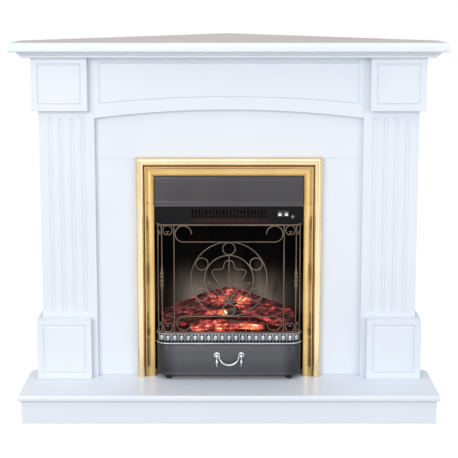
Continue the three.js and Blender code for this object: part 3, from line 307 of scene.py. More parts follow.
# A wire that flows through points of (x, z) on the front plane
def drawWire(points, radius, depth=0.0):
    pick(viewer)
    bpy.ops.curve.primitive_bezier_curve_add(enter_editmode=False)
    line = bpy.context.object
    line.location = (0, 0, 0)
    line.data.splines.clear()
    spline = line.data.splines.new("BEZIER")
    spline.bezier_points.add(len(points) - 1)
    for knot, (x, z) in zip(spline.bezier_points, points):
        knot.co = (x * mm, depth * mm, z * mm)
        knot.handle_left_type = knot.handle_right_type = "AUTO"
    line.data.resolution_u = 8
    line.data.bevel_depth = radius * mm
    line.data.bevel_resolution = 3
    line.data.use_fill_caps = True
    pick(line)
    bpy.ops.object.convert(target="MESH")
    return faceOut(bpy.context.object)


def ringWire(place, ringRadius, wireRadius, steps=72, sides=10):
    pick(viewer)
    bpy.ops.mesh.primitive_torus_add(
        major_radius=ringRadius * mm, minor_radius=wireRadius * mm, major_segments=steps,
        minor_segments=sides, rotation=(math.pi / 2, 0, 0), location=[value * mm for value in place])
    return settle(bpy.context.object)


# ---- shared surface effects

def makeGroup(name, inputs, outputs):
    group = bpy.data.node_groups.new(name, "ShaderNodeTree")
    for label, kind, value in inputs:
        socket = group.interface.new_socket(name=label, in_out="INPUT", socket_type="NodeSocket" + kind)
        socket.default_value = value
    for label, kind in outputs:
        group.interface.new_socket(name=label, in_out="OUTPUT", socket_type="NodeSocket" + kind)
    return group, group.nodes.new("NodeGroupInput").outputs, group.nodes.new("NodeGroupOutput").inputs


# Feeds a node's sockets with links or plain values
def plug(tree, node, feeds):
    for socket, value in feeds.items():
        if isinstance(value, bpy.types.NodeSocket):
            tree.links.new(value, node.inputs[socket])
        else:
            node.inputs[socket].default_value = value
    return node


def put(tree, kind, feeds=None, **options):
    node = tree.nodes.new("ShaderNode" + kind)
    for name, value in options.items():
        setattr(node, name, value)
    return plug(tree, node, feeds or {})


def reckon(tree, operation, first, second=0.0, clamp=False):
    return put(tree, "Math", {0: first, 1: second}, operation=operation, use_clamp=clamp).outputs[0]


def plus(tree, first, second, clamp=False):
    return reckon(tree, "ADD", first, second, clamp)


def minus(tree, first, second, clamp=False):
    return reckon(tree, "SUBTRACT", first, second, clamp)


def times(tree, first, second, clamp=False):
    return reckon(tree, "MULTIPLY", first, second, clamp)


def mixTone(tree, factor, first, second, blend="MIX"):
    return put(tree, "Mix", {0: factor, 6: first, 7: second}, data_type="RGBA", blend_type=blend).outputs[2]


def spread(tree, value, low, high, toLow=0.0, toHigh=1.0):
    return put(tree, "MapRange", {0: value, 1: low, 2: high, 3: toLow, 4: toHigh},
               interpolation_type="SMOOTHSTEP").outputs[0]


def objectPlace(tree, stretch=(1, 1, 1)):
    place = put(tree, "TexCoord").outputs["Object"]
    return put(tree, "Mapping", {"Vector": place, "Scale": stretch}).outputs[0]


def fieldOf(tree, vector, scale, detail=3.0, roughness=0.5, distortion=0.0):
    return put(tree, "TexNoise", {"Vector": vector, "Scale": scale, "Detail": detail,
                                  "Roughness": roughness, "Distortion": distortion}).outputs[0]


def stretchedPlace(tree, along):
    place = put(tree, "TexCoord").outputs["Object"]
    return put(tree, "VectorMath", {0: place, 1: along}, operation="MULTIPLY").outputs[0]


def axesOf(tree):
    return put(tree, "SeparateXYZ", {0: objectPlace(tree)}).outputs


# A colour as a screen shows it, 0 to 255, made linear
def tone(red, green, blue):
    def line(value):
        value /= 255
        return value / 12.92 if value <= 0.04045 else ((value + 0.055) / 1.055) ** 2.4
    return (line(red), line(green), line(blue), 1.0)


def makeDrift():
    group, given, shown = makeGroup(
        "slow drift",
        [("Tone", "Color", (0.8, 0.8, 0.8, 1)), ("Other Tone", "Color", (0.7, 0.7, 0.7, 1)),
         ("Scale", "Float", 4.0), ("Gloss", "Float", 0.4), ("Gloss Drift", "Float", 0.08)],
        [("Color", "Color"), ("Roughness", "Float"), ("Value", "Float")])
    place = objectPlace(group)
    slow = fieldOf(group, place, given["Scale"], 3, 0.55, 0.4)
    share = spread(group, slow, 0.32, 0.68)
    group.links.new(mixTone(group, share, given["Tone"], given["Other Tone"]), shown["Color"])
    wide = times(group, share, given["Gloss Drift"])
    group.links.new(plus(group, wide, given["Gloss"]), shown["Roughness"])
    group.links.new(share, shown["Value"])
    return group


# An ambient occlusion mask; the finishes use it to paint shade into hollows, grooves and joints
def makeCrevice():
    group, given, shown = makeGroup(
        "crevice shade", [("Reach", "Float", 0.01), ("Strength", "Float", 0.5)], [("Mask", "Float")])
    shade = put(group, "AmbientOcclusion", {"Distance": given["Reach"]}, samples=6)
    buried = minus(group, 1.0, shade.outputs["AO"], clamp=True)
    group.links.new(times(group, buried, given["Strength"], clamp=True), shown["Mask"])
    return group


def makePeel():
    group, given, shown = makeGroup(
        "sprayed peel", [("Scale", "Float", 260.0), ("Dust", "Float", 0.2)], [("Height", "Float")])
    place = objectPlace(group)
    peel = fieldOf(group, place, given["Scale"], 2, 0.5)
    speck = fieldOf(group, place, 1400.0, 1, 0.5)
    dust = times(group, reckon(group, "GREATER_THAN", speck, 0.74), given["Dust"])
    group.links.new(plus(group, peel, dust), shown["Height"])
    return group


def makeHairlines():
    group, given, shown = makeGroup(
        "polish lines", [("Along", "Vector", (1.0, 1.0, 0.03)), ("Scale", "Float", 900.0)],
        [("Height", "Float"), ("Smudge", "Float")])
    stretched = stretchedPlace(group, given["Along"])
    group.links.new(fieldOf(group, stretched, given["Scale"], 2, 0.6), shown["Height"])
    smudge = fieldOf(group, objectPlace(group), 26.0, 4, 0.6, 0.6)
    group.links.new(spread(group, smudge, 0.45, 0.75), shown["Smudge"])
    return group


def makeGrain():
    group, given, shown = makeGroup(
        "long grain",
        [("Along", "Vector", (0.06, 1.0, 1.0)), ("Scale", "Float", 60.0),
         ("Pale", "Color", tone(206, 172, 124)), ("Dark", "Color", tone(160, 118, 74))],
        [("Color", "Color"), ("Height", "Float")])
    stretched = stretchedPlace(group, given["Along"])
    rings = fieldOf(group, stretched, given["Scale"], 4, 0.6, 1.2)
    fibre = fieldOf(group, stretched, 700.0, 2, 0.6)
    mostly = times(group, rings, 0.75)
    both = plus(group, mostly, times(group, fibre, 0.25))
    share = spread(group, both, 0.35, 0.66)
    group.links.new(mixTone(group, share, given["Dark"], given["Pale"]), shown["Color"])
    group.links.new(both, shown["Height"])
    return group


slowDrift = makeDrift()
creviceShade = makeCrevice()
sprayedPeel = makePeel()
polishLines = makeHairlines()
longGrain = makeGrain()


def useGroup(tree, group, feeds):
    node = tree.nodes.new("ShaderNodeGroup")
    node.node_tree = group
    return plug(tree, node, feeds).outputs


def driftOf(tree, first, second, scale, gloss, glossDrift):
    return useGroup(tree, slowDrift, {"Tone": first, "Other Tone": second, "Scale": scale,
                                      "Gloss": gloss, "Gloss Drift": glossDrift})


def newFinish(name, **settings):
    material = bpy.data.materials.new(name)
    material.use_nodes = True
    tree = material.node_tree
    shader = tree.nodes["Principled BSDF"]
    for socket, value in settings.items():
        shader.inputs[socket.replace("_", " ")].default_value = value
    return material, tree, shader


def feed(tree, shader, **links):
    for socket, value in links.items():
        tree.links.new(value, shader.inputs[socket.replace("_", " ")])


def bumpOf(tree, height, distance, strength=0.5):
    return put(tree, "Bump", {"Height": height, "Distance": distance, "Strength": strength}).outputs[0]


# ---- finishes

lacquer = {
    "front": tone(227, 233, 242),
    "cloud": tone(222, 229, 239),
    # crevice: painted shade for grooves and joints, laid on by the crevice shade mask
    "crevice": tone(168, 176, 190),
    # the shelf's top face: a darker beige-grey that is painted shade and reflection
    "shelfTopPaintedShade": tone(168, 158, 151),
    "rawBoard": tone(178, 148, 112),
    "gloss": 0.36,
}


def lacquerFinish(name, topFrom=None):
    material, tree, shader = newFinish(name, Coat_Weight=0.15, Coat_Roughness=0.2)
    drift = driftOf(tree, lacquer["front"], lacquer["cloud"], 2.6, lacquer["gloss"], 0.07)
    # painted shade: grooves and joints darken towards the crevice tone
    crevice = useGroup(tree, creviceShade, {"Reach": 0.006, "Strength": 0.35})
    colour = mixTone(tree, crevice["Mask"], drift["Color"], lacquer["crevice"])
    place = axesOf(tree)
    facing = put(tree, "SeparateXYZ", {0: put(tree, "NewGeometry").outputs["Normal"]}).outputs
    # painted shade and reflection: the shelf's top face turns a darker beige-grey
    if topFrom:
        onTop = spread(tree, place[2], topFrom - 0.0015, topFrom)
        colour = mixTone(tree, onTop, colour, lacquer["shelfTopPaintedShade"])
    grain = useGroup(tree, longGrain, {"Along": (1, 1, 1), "Scale": 420.0, "Pale": lacquer["rawBoard"],
                                       "Dark": tone(158, 128, 94)})
    back = spread(tree, facing[1], 0.55, 0.62)
    colour = mixTone(tree, back, colour, grain["Color"])
    rough = reckon(tree, "MAXIMUM", drift["Roughness"], times(tree, back, 0.85))
    peel = useGroup(tree, sprayedPeel, {"Scale": 190.0, "Dust": 0.3})
    feed(tree, shader, Base_Color=colour, Roughness=rough,
         Normal=bumpOf(tree, peel["Height"], 0.0002, 0.25))
    return material


def metalFinish(name, bright, dull, gloss, patinaAndShade, along=(1, 1, 1), reach=0.006,
                patinaAndShadeStrength=0.8, lineDepth=0.00004, metallic=1.0):
    material, tree, shader = newFinish(name, Metallic=metallic)
    drift = driftOf(tree, bright, dull, 9.0, gloss, 0.05)
    lines = useGroup(tree, polishLines, {"Along": along, "Scale": 700.0})
    # the crevice mask lays a dark tone into hollows: painted shade, and real patina where the metal has one
    crevice = useGroup(tree, creviceShade, {"Reach": reach, "Strength": patinaAndShadeStrength})
    colour = mixTone(tree, crevice["Mask"], drift["Color"], patinaAndShade)
    rough = plus(tree, drift["Roughness"], times(tree, lines["Smudge"], 0.06))
    rough = plus(tree, rough, times(tree, crevice["Mask"], 0.25))
    feed(tree, shader, Base_Color=colour, Roughness=rough,
         Normal=bumpOf(tree, lines["Height"], lineDepth, 0.3))
    return material


def sprayedMetal(name, colour, other, gloss, metallic, level=0.4):
    material, tree, shader = newFinish(name, Metallic=metallic, Specular_IOR_Level=level)
    drift = driftOf(tree, colour, other, 5.0, gloss, 0.06)
    # painted shade: the crevice mask darkens hollows to a third of the paint colour
    crevice = useGroup(tree, creviceShade, {"Reach": 0.006, "Strength": 0.6})
    peel = useGroup(tree, sprayedPeel, {"Scale": 420.0, "Dust": 0.4})
    dark = tuple(value * 0.35 for value in colour[:3]) + (1.0,)
    feed(tree, shader, Base_Color=mixTone(tree, crevice["Mask"], drift["Color"], dark),
         Roughness=drift["Roughness"], Normal=bumpOf(tree, peel["Height"], 0.00008, 0.35))
    return material


def mouldedFinish(name, colour, other, gloss):
    material, tree, shader = newFinish(name)
    drift = driftOf(tree, colour, other, 12.0, gloss, 0.1)
    # painted shade: the crevice mask darkens hollows to half the colour
    crevice = useGroup(tree, creviceShade, {"Reach": 0.004, "Strength": 0.5})
    peel = useGroup(tree, sprayedPeel, {"Scale": 900.0, "Dust": 0.5})
    dark = tuple(value * 0.5 for value in colour[:3]) + (1.0,)
    feed(tree, shader, Base_Color=mixTone(tree, crevice["Mask"], drift["Color"], dark),
         Roughness=drift["Roughness"], Normal=bumpOf(tree, peel["Height"], 0.00012, 0.4))
    return material


def timberFinish(name, along):
    material, tree, shader = newFinish(name, Roughness=0.8)
    grain = useGroup(tree, longGrain, {"Along": along, "Scale": 55.0})
    # painted shade: the crevice mask darkens hollows to a deep brown
    crevice = useGroup(tree, creviceShade, {"Reach": 0.02, "Strength": 0.7})
    feed(tree, shader, Base_Color=mixTone(tree, crevice["Mask"], grain["Color"], tone(96, 70, 44)),
         Normal=bumpOf(tree, grain["Height"], 0.0005, 0.5))
    return material


trim = {"innerHalf": 201.0, "foot": 80.3, "top": 637.0, "face": -208.0, "mitreGap": 0.12}
# where the trim's painted highlight and painted shade bands lie
trimPaintedLightBands = {  # metres out from the opening's edge
    "lip": 0.0052, "shadeLineStart": (0.0225, 0.0240), "shadeLineEnd": (0.0268, 0.0285), "coveEnd": (0.0235, 0.0275),
}


# Lacquered brass with painted light: a paler bead outside as painted highlight, a deeper cove inside and a
# dark line between them as painted shade
def brassFinish(name):
    material, tree, shader = newFinish(name, Metallic=1.0)
    axes = axesOf(tree)
    side = minus(tree, reckon(tree, "ABSOLUTE", axes[0]), trim["innerHalf"] * mm)
    out = reckon(tree, "MAXIMUM", side, minus(tree, axes[2], trim["top"] * mm))
    # the bead's paler tone is a painted highlight, the cove's deeper tone painted shade
    drift = driftOf(tree, tone(242, 220, 182), tone(236, 212, 170), 9.0, 0.2, 0.03)
    coveShadeTone = mixTone(tree, drift["Value"], tone(222, 190, 130), tone(214, 180, 116))
    colour = mixTone(tree, spread(tree, out, *trimPaintedLightBands["coveEnd"], 1.0, 0.0), drift["Color"], coveShadeTone)
    # painted shade: a dark line in the groove between cove and bead, and along the inner lip
    shadeLineEnd = spread(tree, out, *trimPaintedLightBands["shadeLineEnd"], 1.0, 0.0)
    line = times(tree, spread(tree, out, *trimPaintedLightBands["shadeLineStart"]), shadeLineEnd)
    lip = spread(tree, out, 0.0, trimPaintedLightBands["lip"], 0.5, 0.0)
    dark = reckon(tree, "MAXIMUM", times(tree, line, 0.35), lip)
    colour = mixTone(tree, dark, colour, tone(126, 92, 44))
    lines = useGroup(tree, polishLines, {"Along": (1, 1, 1), "Scale": 500.0})
    rough = plus(tree, drift["Roughness"], times(tree, lines["Smudge"], 0.02))
    feed(tree, shader, Base_Color=colour, Roughness=rough,
         Normal=bumpOf(tree, drift["Value"], 0.00002, 0.1))
    return material


# The pan's paint, with painted shade that darkens it round its two turned ends
def panFinish(name):
    material, tree, shader = newFinish(name, Metallic=0.3, Specular_IOR_Level=0.4)
    side = axesOf(tree)[0]
    drift = driftOf(tree, tone(86, 87, 91), tone(81, 82, 86), 5.0, 0.34, 0.06)
    # painted shade: the turned ends fall to a deeper grey
    turned = spread(tree, reckon(tree, "ABSOLUTE", side), 0.135, 0.178)
    colour = mixTone(tree, turned, drift["Color"], tone(48, 50, 52))
    peel = useGroup(tree, sprayedPeel, {"Scale": 420.0, "Dust": 0.4})
    feed(tree, shader, Base_Color=colour, Roughness=drift["Roughness"],
         Normal=bumpOf(tree, peel["Height"], 0.00008, 0.35))
    return material


# Cast metal with dark antiquing left in its hollows and painted shade from the crevice mask: an attribute
# says how far each point stands out
def castFinish(name):
    material, tree, shader = newFinish(name, Metallic=1.0)
    proud = put(tree, "Attribute", attribute_name="relief").outputs["Fac"]
    drift = driftOf(tree, tone(196, 199, 204), tone(172, 175, 181), 14.0, 0.28, 0.06)
    lines = useGroup(tree, polishLines, {"Along": (1, 1, 1), "Scale": 500.0})
    crevice = useGroup(tree, creviceShade, {"Reach": 0.004, "Strength": 1.1})
    # real antiquing by relief, minus painted shade from the crevice mask
    rubbedLessShade = minus(tree, spread(tree, proud, 0.12, 0.75), crevice["Mask"], clamp=True)
    rough = plus(tree, drift["Roughness"], spread(tree, rubbedLessShade, 0.0, 1.0, 0.3, 0.0))
    feed(tree, shader, Base_Color=mixTone(tree, rubbedLessShade, tone(40, 40, 44), drift["Color"]), Roughness=rough,
         Normal=bumpOf(tree, lines["Height"], 0.00008, 0.3))
    return material


# Resin with its glow painted in as emission, though it is no lamp: an attribute on the piece says how bright
# the painted glow is at each point, and noise breaks it up
def glowFinish(name, power, veinScale=70.0):
    material, tree, shader = newFinish(name, Roughness=0.7, Emission_Strength=power, Specular_IOR_Level=0.1)
    place = objectPlace(tree)
    glowLevel = put(tree, "Attribute", attribute_name="paintedGlow").outputs["Fac"]
    patches = fieldOf(tree, place, 30.0, 4, 0.6, 0.6)
    flecks = fieldOf(tree, objectPlace(tree, (0.32, 1, 1)), 120.0, 4, 0.66, 0.7)
    cells = put(tree, "TexVoronoi", {"Vector": objectPlace(tree, (0.55, 1, 1)), "Scale": veinScale,
                                     "Randomness": 1.0}, feature="DISTANCE_TO_EDGE").outputs[0]
    cracks = spread(tree, cells, 0.0, 0.10, 1.0, 0.0)
    # painted shade: the crevice mask dims the glow where logs and lumps meet
    buried = useGroup(tree, creviceShade, {"Reach": 0.016, "Strength": 1.0})["Mask"]
    sway = times(tree, minus(tree, patches, 0.5), 1.35)
    crumbs = times(tree, minus(tree, flecks, 0.5), 1.3)
    total = plus(tree, plus(tree, glowLevel, sway), crumbs)
    total = minus(tree, total, times(tree, cracks, 0.28))
    total = minus(tree, total, times(tree, buried, 0.75))
    ramp = put(tree, "ValToRGB", {0: total})
    stops = [(0.0, tone(10, 5, 7)), (0.16, tone(46, 18, 24)), (0.34, tone(112, 36, 44)),
             (0.52, tone(204, 66, 66)), (0.66, tone(238, 104, 78)), (0.80, tone(252, 150, 84)),
             (0.91, tone(255, 206, 146)), (1.0, tone(255, 242, 220))]
    bands = ramp.color_ramp.elements
    bands[0].position, bands[0].color = stops[0]
    bands[1].position, bands[1].color = stops[-1]
    for spot, colour in stops[1:-1]:
        bands.new(spot).color = colour
    bark = mixTone(tree, spread(tree, flecks, 0.4, 0.65), tone(40, 20, 18), tone(104, 62, 54))
    height = plus(tree, patches, times(tree, flecks, 0.5))
    feed(tree, shader, Base_Color=bark, Emission_Color=ramp.outputs[0],
         Normal=bumpOf(tree, height, 0.002, 0.7))
    return material


flamePlaces = {"sides": (0.08, 0.185), "height": (0.232, 0.362), "foot": (0.215, 0.245)}


# The flame panel, with the flame light painted in as glow: black glass above, pale wisps that thin out with
# height
def flameFinish(name):
    material, tree, shader = newFinish(name, Roughness=0.6, Emission_Strength=1.0, Specular_IOR_Level=0.02)
    axes = axesOf(tree)
    wisps = fieldOf(tree, objectPlace(tree, (1.0, 1.0, 0.30)), 15.0, 2, 0.5, 0.6)
    tongues = fieldOf(tree, objectPlace(tree, (1.0, 1.0, 0.12)), 26.0, 2, 0.5, 0.3)
    side = reckon(tree, "ABSOLUTE", axes[0])
    middle = spread(tree, side, *flamePlaces["sides"], 1.0, 0.10)
    height = minus(tree, axes[2], times(tree, tongues, 0.07))
    fade = reckon(tree, "POWER", spread(tree, height, *flamePlaces["height"], 1.0, 0.0), 1.5)
    shape = spread(tree, wisps, 0.34, 0.68, 0.35, 1.0)
    foot = spread(tree, axes[2], *flamePlaces["foot"])
    ends = times(tree, middle, foot)
    total = times(tree, times(tree, fade, shape), ends)
    total = times(tree, total, 0.62, clamp=True)
    dark = mixTone(tree, spread(tree, wisps, 0.4, 0.7), tone(4, 3, 3), tone(12, 9, 8))
    feed(tree, shader, Base_Color=dark,
         Roughness=plus(tree, 0.3, times(tree, wisps, 0.25)),
         Emission_Color=mixTone(tree, total, tone(0, 0, 0), tone(150, 135, 122)),
         Normal=bumpOf(tree, tongues, 0.0005, 0.3))
    return material


slotGlow = {"ends": (0.05, 0.135), "low": (0.5035, 0.5105), "high": (0.5135, 0.522)}
rockerMiddle = (0.5312, 0.5322)


# The control panel, with the heater's red light painted on as a faint glow along the foot of its slots
def panelFinish(name):
    material, tree, shader = newFinish(name, Emission_Strength=1.0, Specular_IOR_Level=0.16)
    axes = axesOf(tree)
    side = spread(tree, reckon(tree, "ABSOLUTE", axes[0]), *slotGlow["ends"], 1.0, 0.0)
    low = spread(tree, axes[2], *slotGlow["low"])
    high = spread(tree, axes[2], *slotGlow["high"], 1.0, 0.0)
    glow = times(tree, side, times(tree, low, high))
    drift = driftOf(tree, tone(13, 12, 16), tone(10, 8, 10), 6.0, 0.42, 0.08)
    peel = useGroup(tree, sprayedPeel, {"Scale": 520.0, "Dust": 0.4})
    feed(tree, shader, Base_Color=drift["Color"], Roughness=drift["Roughness"],
         Emission_Color=mixTone(tree, glow, tone(0, 0, 0), tone(44, 13, 14)),
         Normal=bumpOf(tree, peel["Height"], 0.0001, 0.35))
    return material


# Rocker plastic with painted light: the upper half painted a shaded grey, the lower half a lit white that
# also glows faintly
def rockerFinish(name):
    material, tree, shader = newFinish(name, Roughness=0.32, Emission_Strength=0.15)
    height = axesOf(tree)[2]
    lower = spread(tree, height, *rockerMiddle, 1.0, 0.0)
    speck = fieldOf(tree, objectPlace(tree), 320.0, 3, 0.6)
    grey = mixTone(tree, speck, tone(118, 116, 118), tone(150, 148, 150))
    white = mixTone(tree, speck, tone(244, 244, 246), tone(232, 232, 236))
    feed(tree, shader, Base_Color=mixTone(tree, lower, grey, white),
         Emission_Color=mixTone(tree, lower, tone(0, 0, 0), tone(220, 222, 230)),
         Normal=bumpOf(tree, speck, 0.0001, 0.3))
    return material


def heaterFinish(name):
    material, tree, shader = newFinish(name, Metallic=0.2, Roughness=0.7, Emission_Strength=0.04)
    coils = put(tree, "TexWave", {"Vector": objectPlace(tree), "Scale": 160.0, "Distortion": 1.0},
                bands_direction="X").outputs[1]
    patches = fieldOf(tree, objectPlace(tree), 30.0, 3, 0.5)
    feed(tree, shader, Base_Color=mixTone(tree, patches, tone(34, 26, 24), tone(22, 19, 18)),
         Emission_Color=mixTone(tree, coils, tone(60, 8, 6), tone(170, 40, 22)),
         Normal=bumpOf(tree, coils, 0.0004, 0.6))
    return material


def lampFinish(name):
    material, tree, shader = newFinish(name, Roughness=0.2, Emission_Strength=0.8)
    axes = axesOf(tree)
    end = spread(tree, reckon(tree, "ABSOLUTE", axes[0]), 0.03, 0.06, 0.15, 1.0)
    frost = fieldOf(tree, objectPlace(tree), 240.0, 3, 0.6)
    feed(tree, shader, Base_Color=mixTone(tree, frost, tone(250, 232, 196), tone(238, 214, 170)),
         Emission_Color=mixTone(tree, end, tone(150, 70, 20), tone(255, 190, 110)),
         Normal=bumpOf(tree, frost, 0.0002, 0.3))
    return material


whiteLacquer = lacquerFinish("white lacquer")
shelfLacquer = lacquerFinish("shelf lacquer", topFrom=0.9955)
rawTimber = timberFinish("raw timber", (0.05, 1.0, 1.0))
brass = brassFinish("polished brass")
graphite = sprayedMetal("graphite sheet", tone(60, 57, 63), tone(66, 65, 67), 0.36, 0.2)
blackSheet = sprayedMetal("black sheet", tone(12, 11, 12), tone(17, 16, 17), 0.65, 0.0, level=0.12)
controlBlack = panelFinish("control panel black")
pewter = metalFinish("pewter wire", tone(118, 106, 95), tone(96, 84, 74), 0.36, tone(36, 28, 24),
                     lineDepth=0.0001, metallic=0.9)
silver = castFinish("silver casting")
panGraphite = panFinish("pan graphite")
chrome = metalFinish("bright chrome", tone(222, 223, 227), tone(208, 210, 215), 0.12, tone(52, 52, 56),
                     reach=0.004, patinaAndShadeStrength=1.0)
rubber = mouldedFinish("black rubber", tone(22, 22, 23), tone(30, 30, 31), 0.75)
ivory = rockerFinish("ivory plastic")
knobIvory = mouldedFinish("knob ivory", tone(138, 136, 136), tone(120, 118, 118), 0.34)
blackPlastic = mouldedFinish("black plastic", tone(28, 28, 30), tone(34, 34, 36), 0.42)
emberGlow = glowFinish("ember resin", 1.0, 90.0)
logGlow = glowFinish("log resin", 1.0, 60.0)
flamePanel = flameFinish("frosted panel")
lampGlass = lampFinish("lamp glass")
zincSteel = metalFinish("zinc steel", tone(176, 180, 186), tone(150, 154, 160), 0.36, tone(70, 70, 72),
                        along=(1, 0.05, 1))
heaterGlow = heaterFinish("heater element")
print("finishes made")


# ---- timber work

def makeSurround():
    for name in ("hearth_top", "cornice_board", "frieze_board", "leg_board_right", "leg_board_left",
                 "capital_right", "capital_left", "plinth_right", "plinth_left", "surround_header",
                 "surround_cheek_right", "surround_cheek_left", "side_return_right", "side_return_left",
                 "hearth_fascia", "hearth_side_right", "hearth_side_left"):
        easeNode(name, whiteLacquer, ease=0.8)
    easeNode("shelf_board", shelfLacquer, ease=0.8)
    easeNode("hearth_framing", rawTimber, ease=1.2)
    easeNode("wall_cleats", rawTimber, ease=1.2)


# ---- brass trim

def trimSection():
    bead = [(38 - 11 * math.cos(math.pi * i / 20), 9.5 + 11 * math.sin(math.pi * i / 20)) for i in range(21)]
    lip = [(2.0 - 2.0 * math.cos(math.pi * i / 8), 9.0 + 1.9 * math.sin(math.pi * i / 8)) for i in range(9)]
    cove = []
    for i in range(13):
        share = i / 12
        cove.append((5.4 + 17.6 * share, 7.3 + 8.2 * share ** 1.7))
    roll = [(23.9, 15.9), (24.9, 15.6), (25.6, 14.4), (25.9, 12.0)]
    return [(0, 0), *lip, (4.6, 7.6), *cove, *roll, (26.6, 10.2), *bead, (49, 0)]


def makeTrim():
    section = trimSection()
    half, foot, top, face, gap = (trim[key] for key in ("innerHalf", "foot", "top", "face", "mitreGap"))
    right = drawFace([(half + u, face - v, foot) for u, v in section])
    extrudeFace(right, (0, 0, top - foot))
    for vertex in right.data.vertices:
        if vertex.co.z > (foot + 5) * mm:
            vertex.co.z = (top + vertex.co.x / mm - half - gap) * mm
    left = mirrorPiece(right)
    over = drawFace([(-half - u, face - v, top + u) for u, v in section])
    extrudeFace(over, (2 * half, 0, 0))
    for vertex in over.data.vertices:
        outward = vertex.co.z / mm - top
        side = 1 if vertex.co.x > -half * mm + 0.0001 else -1
        vertex.co.x = side * (half + outward - gap) * mm
    finishPiece(right, "trim_right_polished", brass, stands=["trim_right"], smooth=32)
    finishPiece(left, "trim_left_polished", brass, stands=["trim_left"], smooth=32)
    finishPiece(over, "trim_top_polished", brass, stands=["trim_top"], smooth=32)


# ---- the bow of fret, guard and pan: a flat middle and two turned ends

bow = {"face": -252.5, "flatHalf": 163.0, "radius": 34.0, "turn": math.radians(70)}
bow["halfLength"] = bow["flatHalf"] + bow["radius"] * bow["turn"]


def onBow(along, depth=0.0):
    beyond = abs(along) - bow["flatHalf"]
    if beyond <= 0:
        return along, bow["face"] + depth
    side = 1 if along > 0 else -1
    turn = beyond / bow["radius"]
    reach = bow["radius"] - depth
    back = bow["face"] + bow["radius"] - reach * math.cos(turn)
    return side * (bow["flatHalf"] + reach * math.sin(turn)), back


# Wraps a piece that was made flat on the bow's face round the bow's two ends
def wrapOnBow(piece):
    settle(piece)
    for vertex in piece.data.vertices:
        x, y = onBow(vertex.co.x / mm, vertex.co.y / mm - bow["face"])
        vertex.co.x, vertex.co.y = x * mm, y * mm
    piece.data.update()
    return piece


def bowRun(section, ends=14):
    half, flat = bow["halfLength"], bow["flatHalf"]
    piece = drawFace([(-half, bow["face"] + depth, z) for depth, z in section])
    short = ((half - flat) / ends, 0, 0)
    extrudeFace(piece, *[short] * ends, (2 * flat, 0, 0), *[short] * ends)
    return wrapOnBow(piece)


def roundSection(depth, height, radius, sides=14):
    return [(depth + radius * math.cos(2 * math.pi * i / sides),
             height + radius * math.sin(2 * math.pi * i / sides)) for i in range(sides)]


guard = {
    "plane": -250.0, "setback": 2.5, "wire": 1.6, "rail": 2.2, "top": 509.0, "foot": 213.6,
    "posts": (147.0, 199.5), "spindle": 182.0, "centre": 361.0, "outerRing": 102.0, "innerRing": 65.4,
    "smallRing": 16.6, "scrollSpan": 122.0, "topScroll": 22.0, "footScroll": 19.5,
    "horn": 13.0, "hornCurl": 4.4, "hornPlace": 164.5, "endHorn": 191.0,
}


# A wire between two scrolls, whose free ends point inwards; lift is 1 where they stand above it
def scrollWire(height, radius, lift):
    span = guard["scrollSpan"]
    curl = ("turn", radius, 270 * lift)
    return bendWire((-span + radius, height + lift * radius), 90 * lift,
                    [curl, ("run", 2 * span), curl], guard["wire"], guard["plane"])


def hornRing(centre, height, lift, size=1.0):
    radius, curl = guard["horn"] * size, guard["hornCurl"] * size
    halves = []
    for side in (1, -1):
        heading = 0 if side > 0 else 180
        turn = -1 if side * lift > 0 else 1
        moves = [("turn", radius, turn * 150), ("turn", curl, turn * 215)]
        start = (centre, height + lift * radius)
        halves.append(bendWire(start, heading, moves, guard["wire"], guard["plane"], grain=3.0))
    return joinPieces(halves)


def spindlePost():
    waist, foot, top = guard["centre"], guard["foot"], guard["top"]
    x, y = onBow(guard["spindle"], guard["setback"])
    profile = [
        (1.6, foot), (1.6, foot + 40), (1.8, waist - 62), (2.1, waist - 42), (2.7, waist - 30),
        (3.9, waist - 22), (4.8, waist - 17), (4.6, waist - 13), (3.6, waist - 9.5), (3.2, waist - 8.4),
        (4.6, waist - 7.8), (5.9, waist - 6.8), (6.3, waist - 5.2), (5.9, waist - 3.6), (4.4, waist - 2.6),
        (3.5, waist - 1.2), (3.4, waist), (3.5, waist + 1.2), (4.4, waist + 2.6), (5.9, waist + 3.6),
        (6.3, waist + 5.2), (5.9, waist + 6.8), (4.6, waist + 7.8), (3.4, waist + 8.6), (3.6, waist + 9.8),
        (4.4, waist + 12), (4.6, waist + 14.5), (3.9, waist + 18), (2.7, waist + 24), (2.1, waist + 34),
        (1.7, waist + 48), (1.6, waist + 70), (1.6, top),
    ]
    return turnPiece(profile, (x, y, 0), sides=20)


# The palmette inside the middle ring
def palmette():
    centre, plane = guard["centre"], guard["plane"]
    hub = centre - guard["innerRing"] + 4
    wire = 1.4
    pieces = [bendWire((0, hub), 90, [("run", centre + guard["innerRing"] - hub)], wire * 1.1, plane)]
    crown = [(0, 413), (6.8, 411.2), (11.7, 406.2), (13.5, 399.5), (15.2, 392.6), (21, 388.6), (30, 387.6),
             (39, 387.2), (44.6, 384.4), (45.4, 379.2), (41.5, 371.5), (28, 350), (12.5, 321), (1.2, hub + 2)]
    leaf = [(1.6, hub + 0.5), (15, 320), (29, 336.5), (42, 347), (55, 352.2), (56.6, 350.6),
            (49, 342.5), (38, 329.5), (23, 313.5), (3.0, hub - 0.6)]
    for side in (1, -1):
        for points in (crown, leaf):
            pieces.append(drawWire([(side * x, z) for x, z in points], wire, plane))
    button = turnPiece([(3.9, -2.6), (3.9, 1.4), (3.4, 2.3), (2.6, 2.6), (2.3, 3.2), (1.6, 3.8), (0.4, 4.0)],
                       (0, plane, hub), sides=24, lay="forward")
    return [*pieces, button]


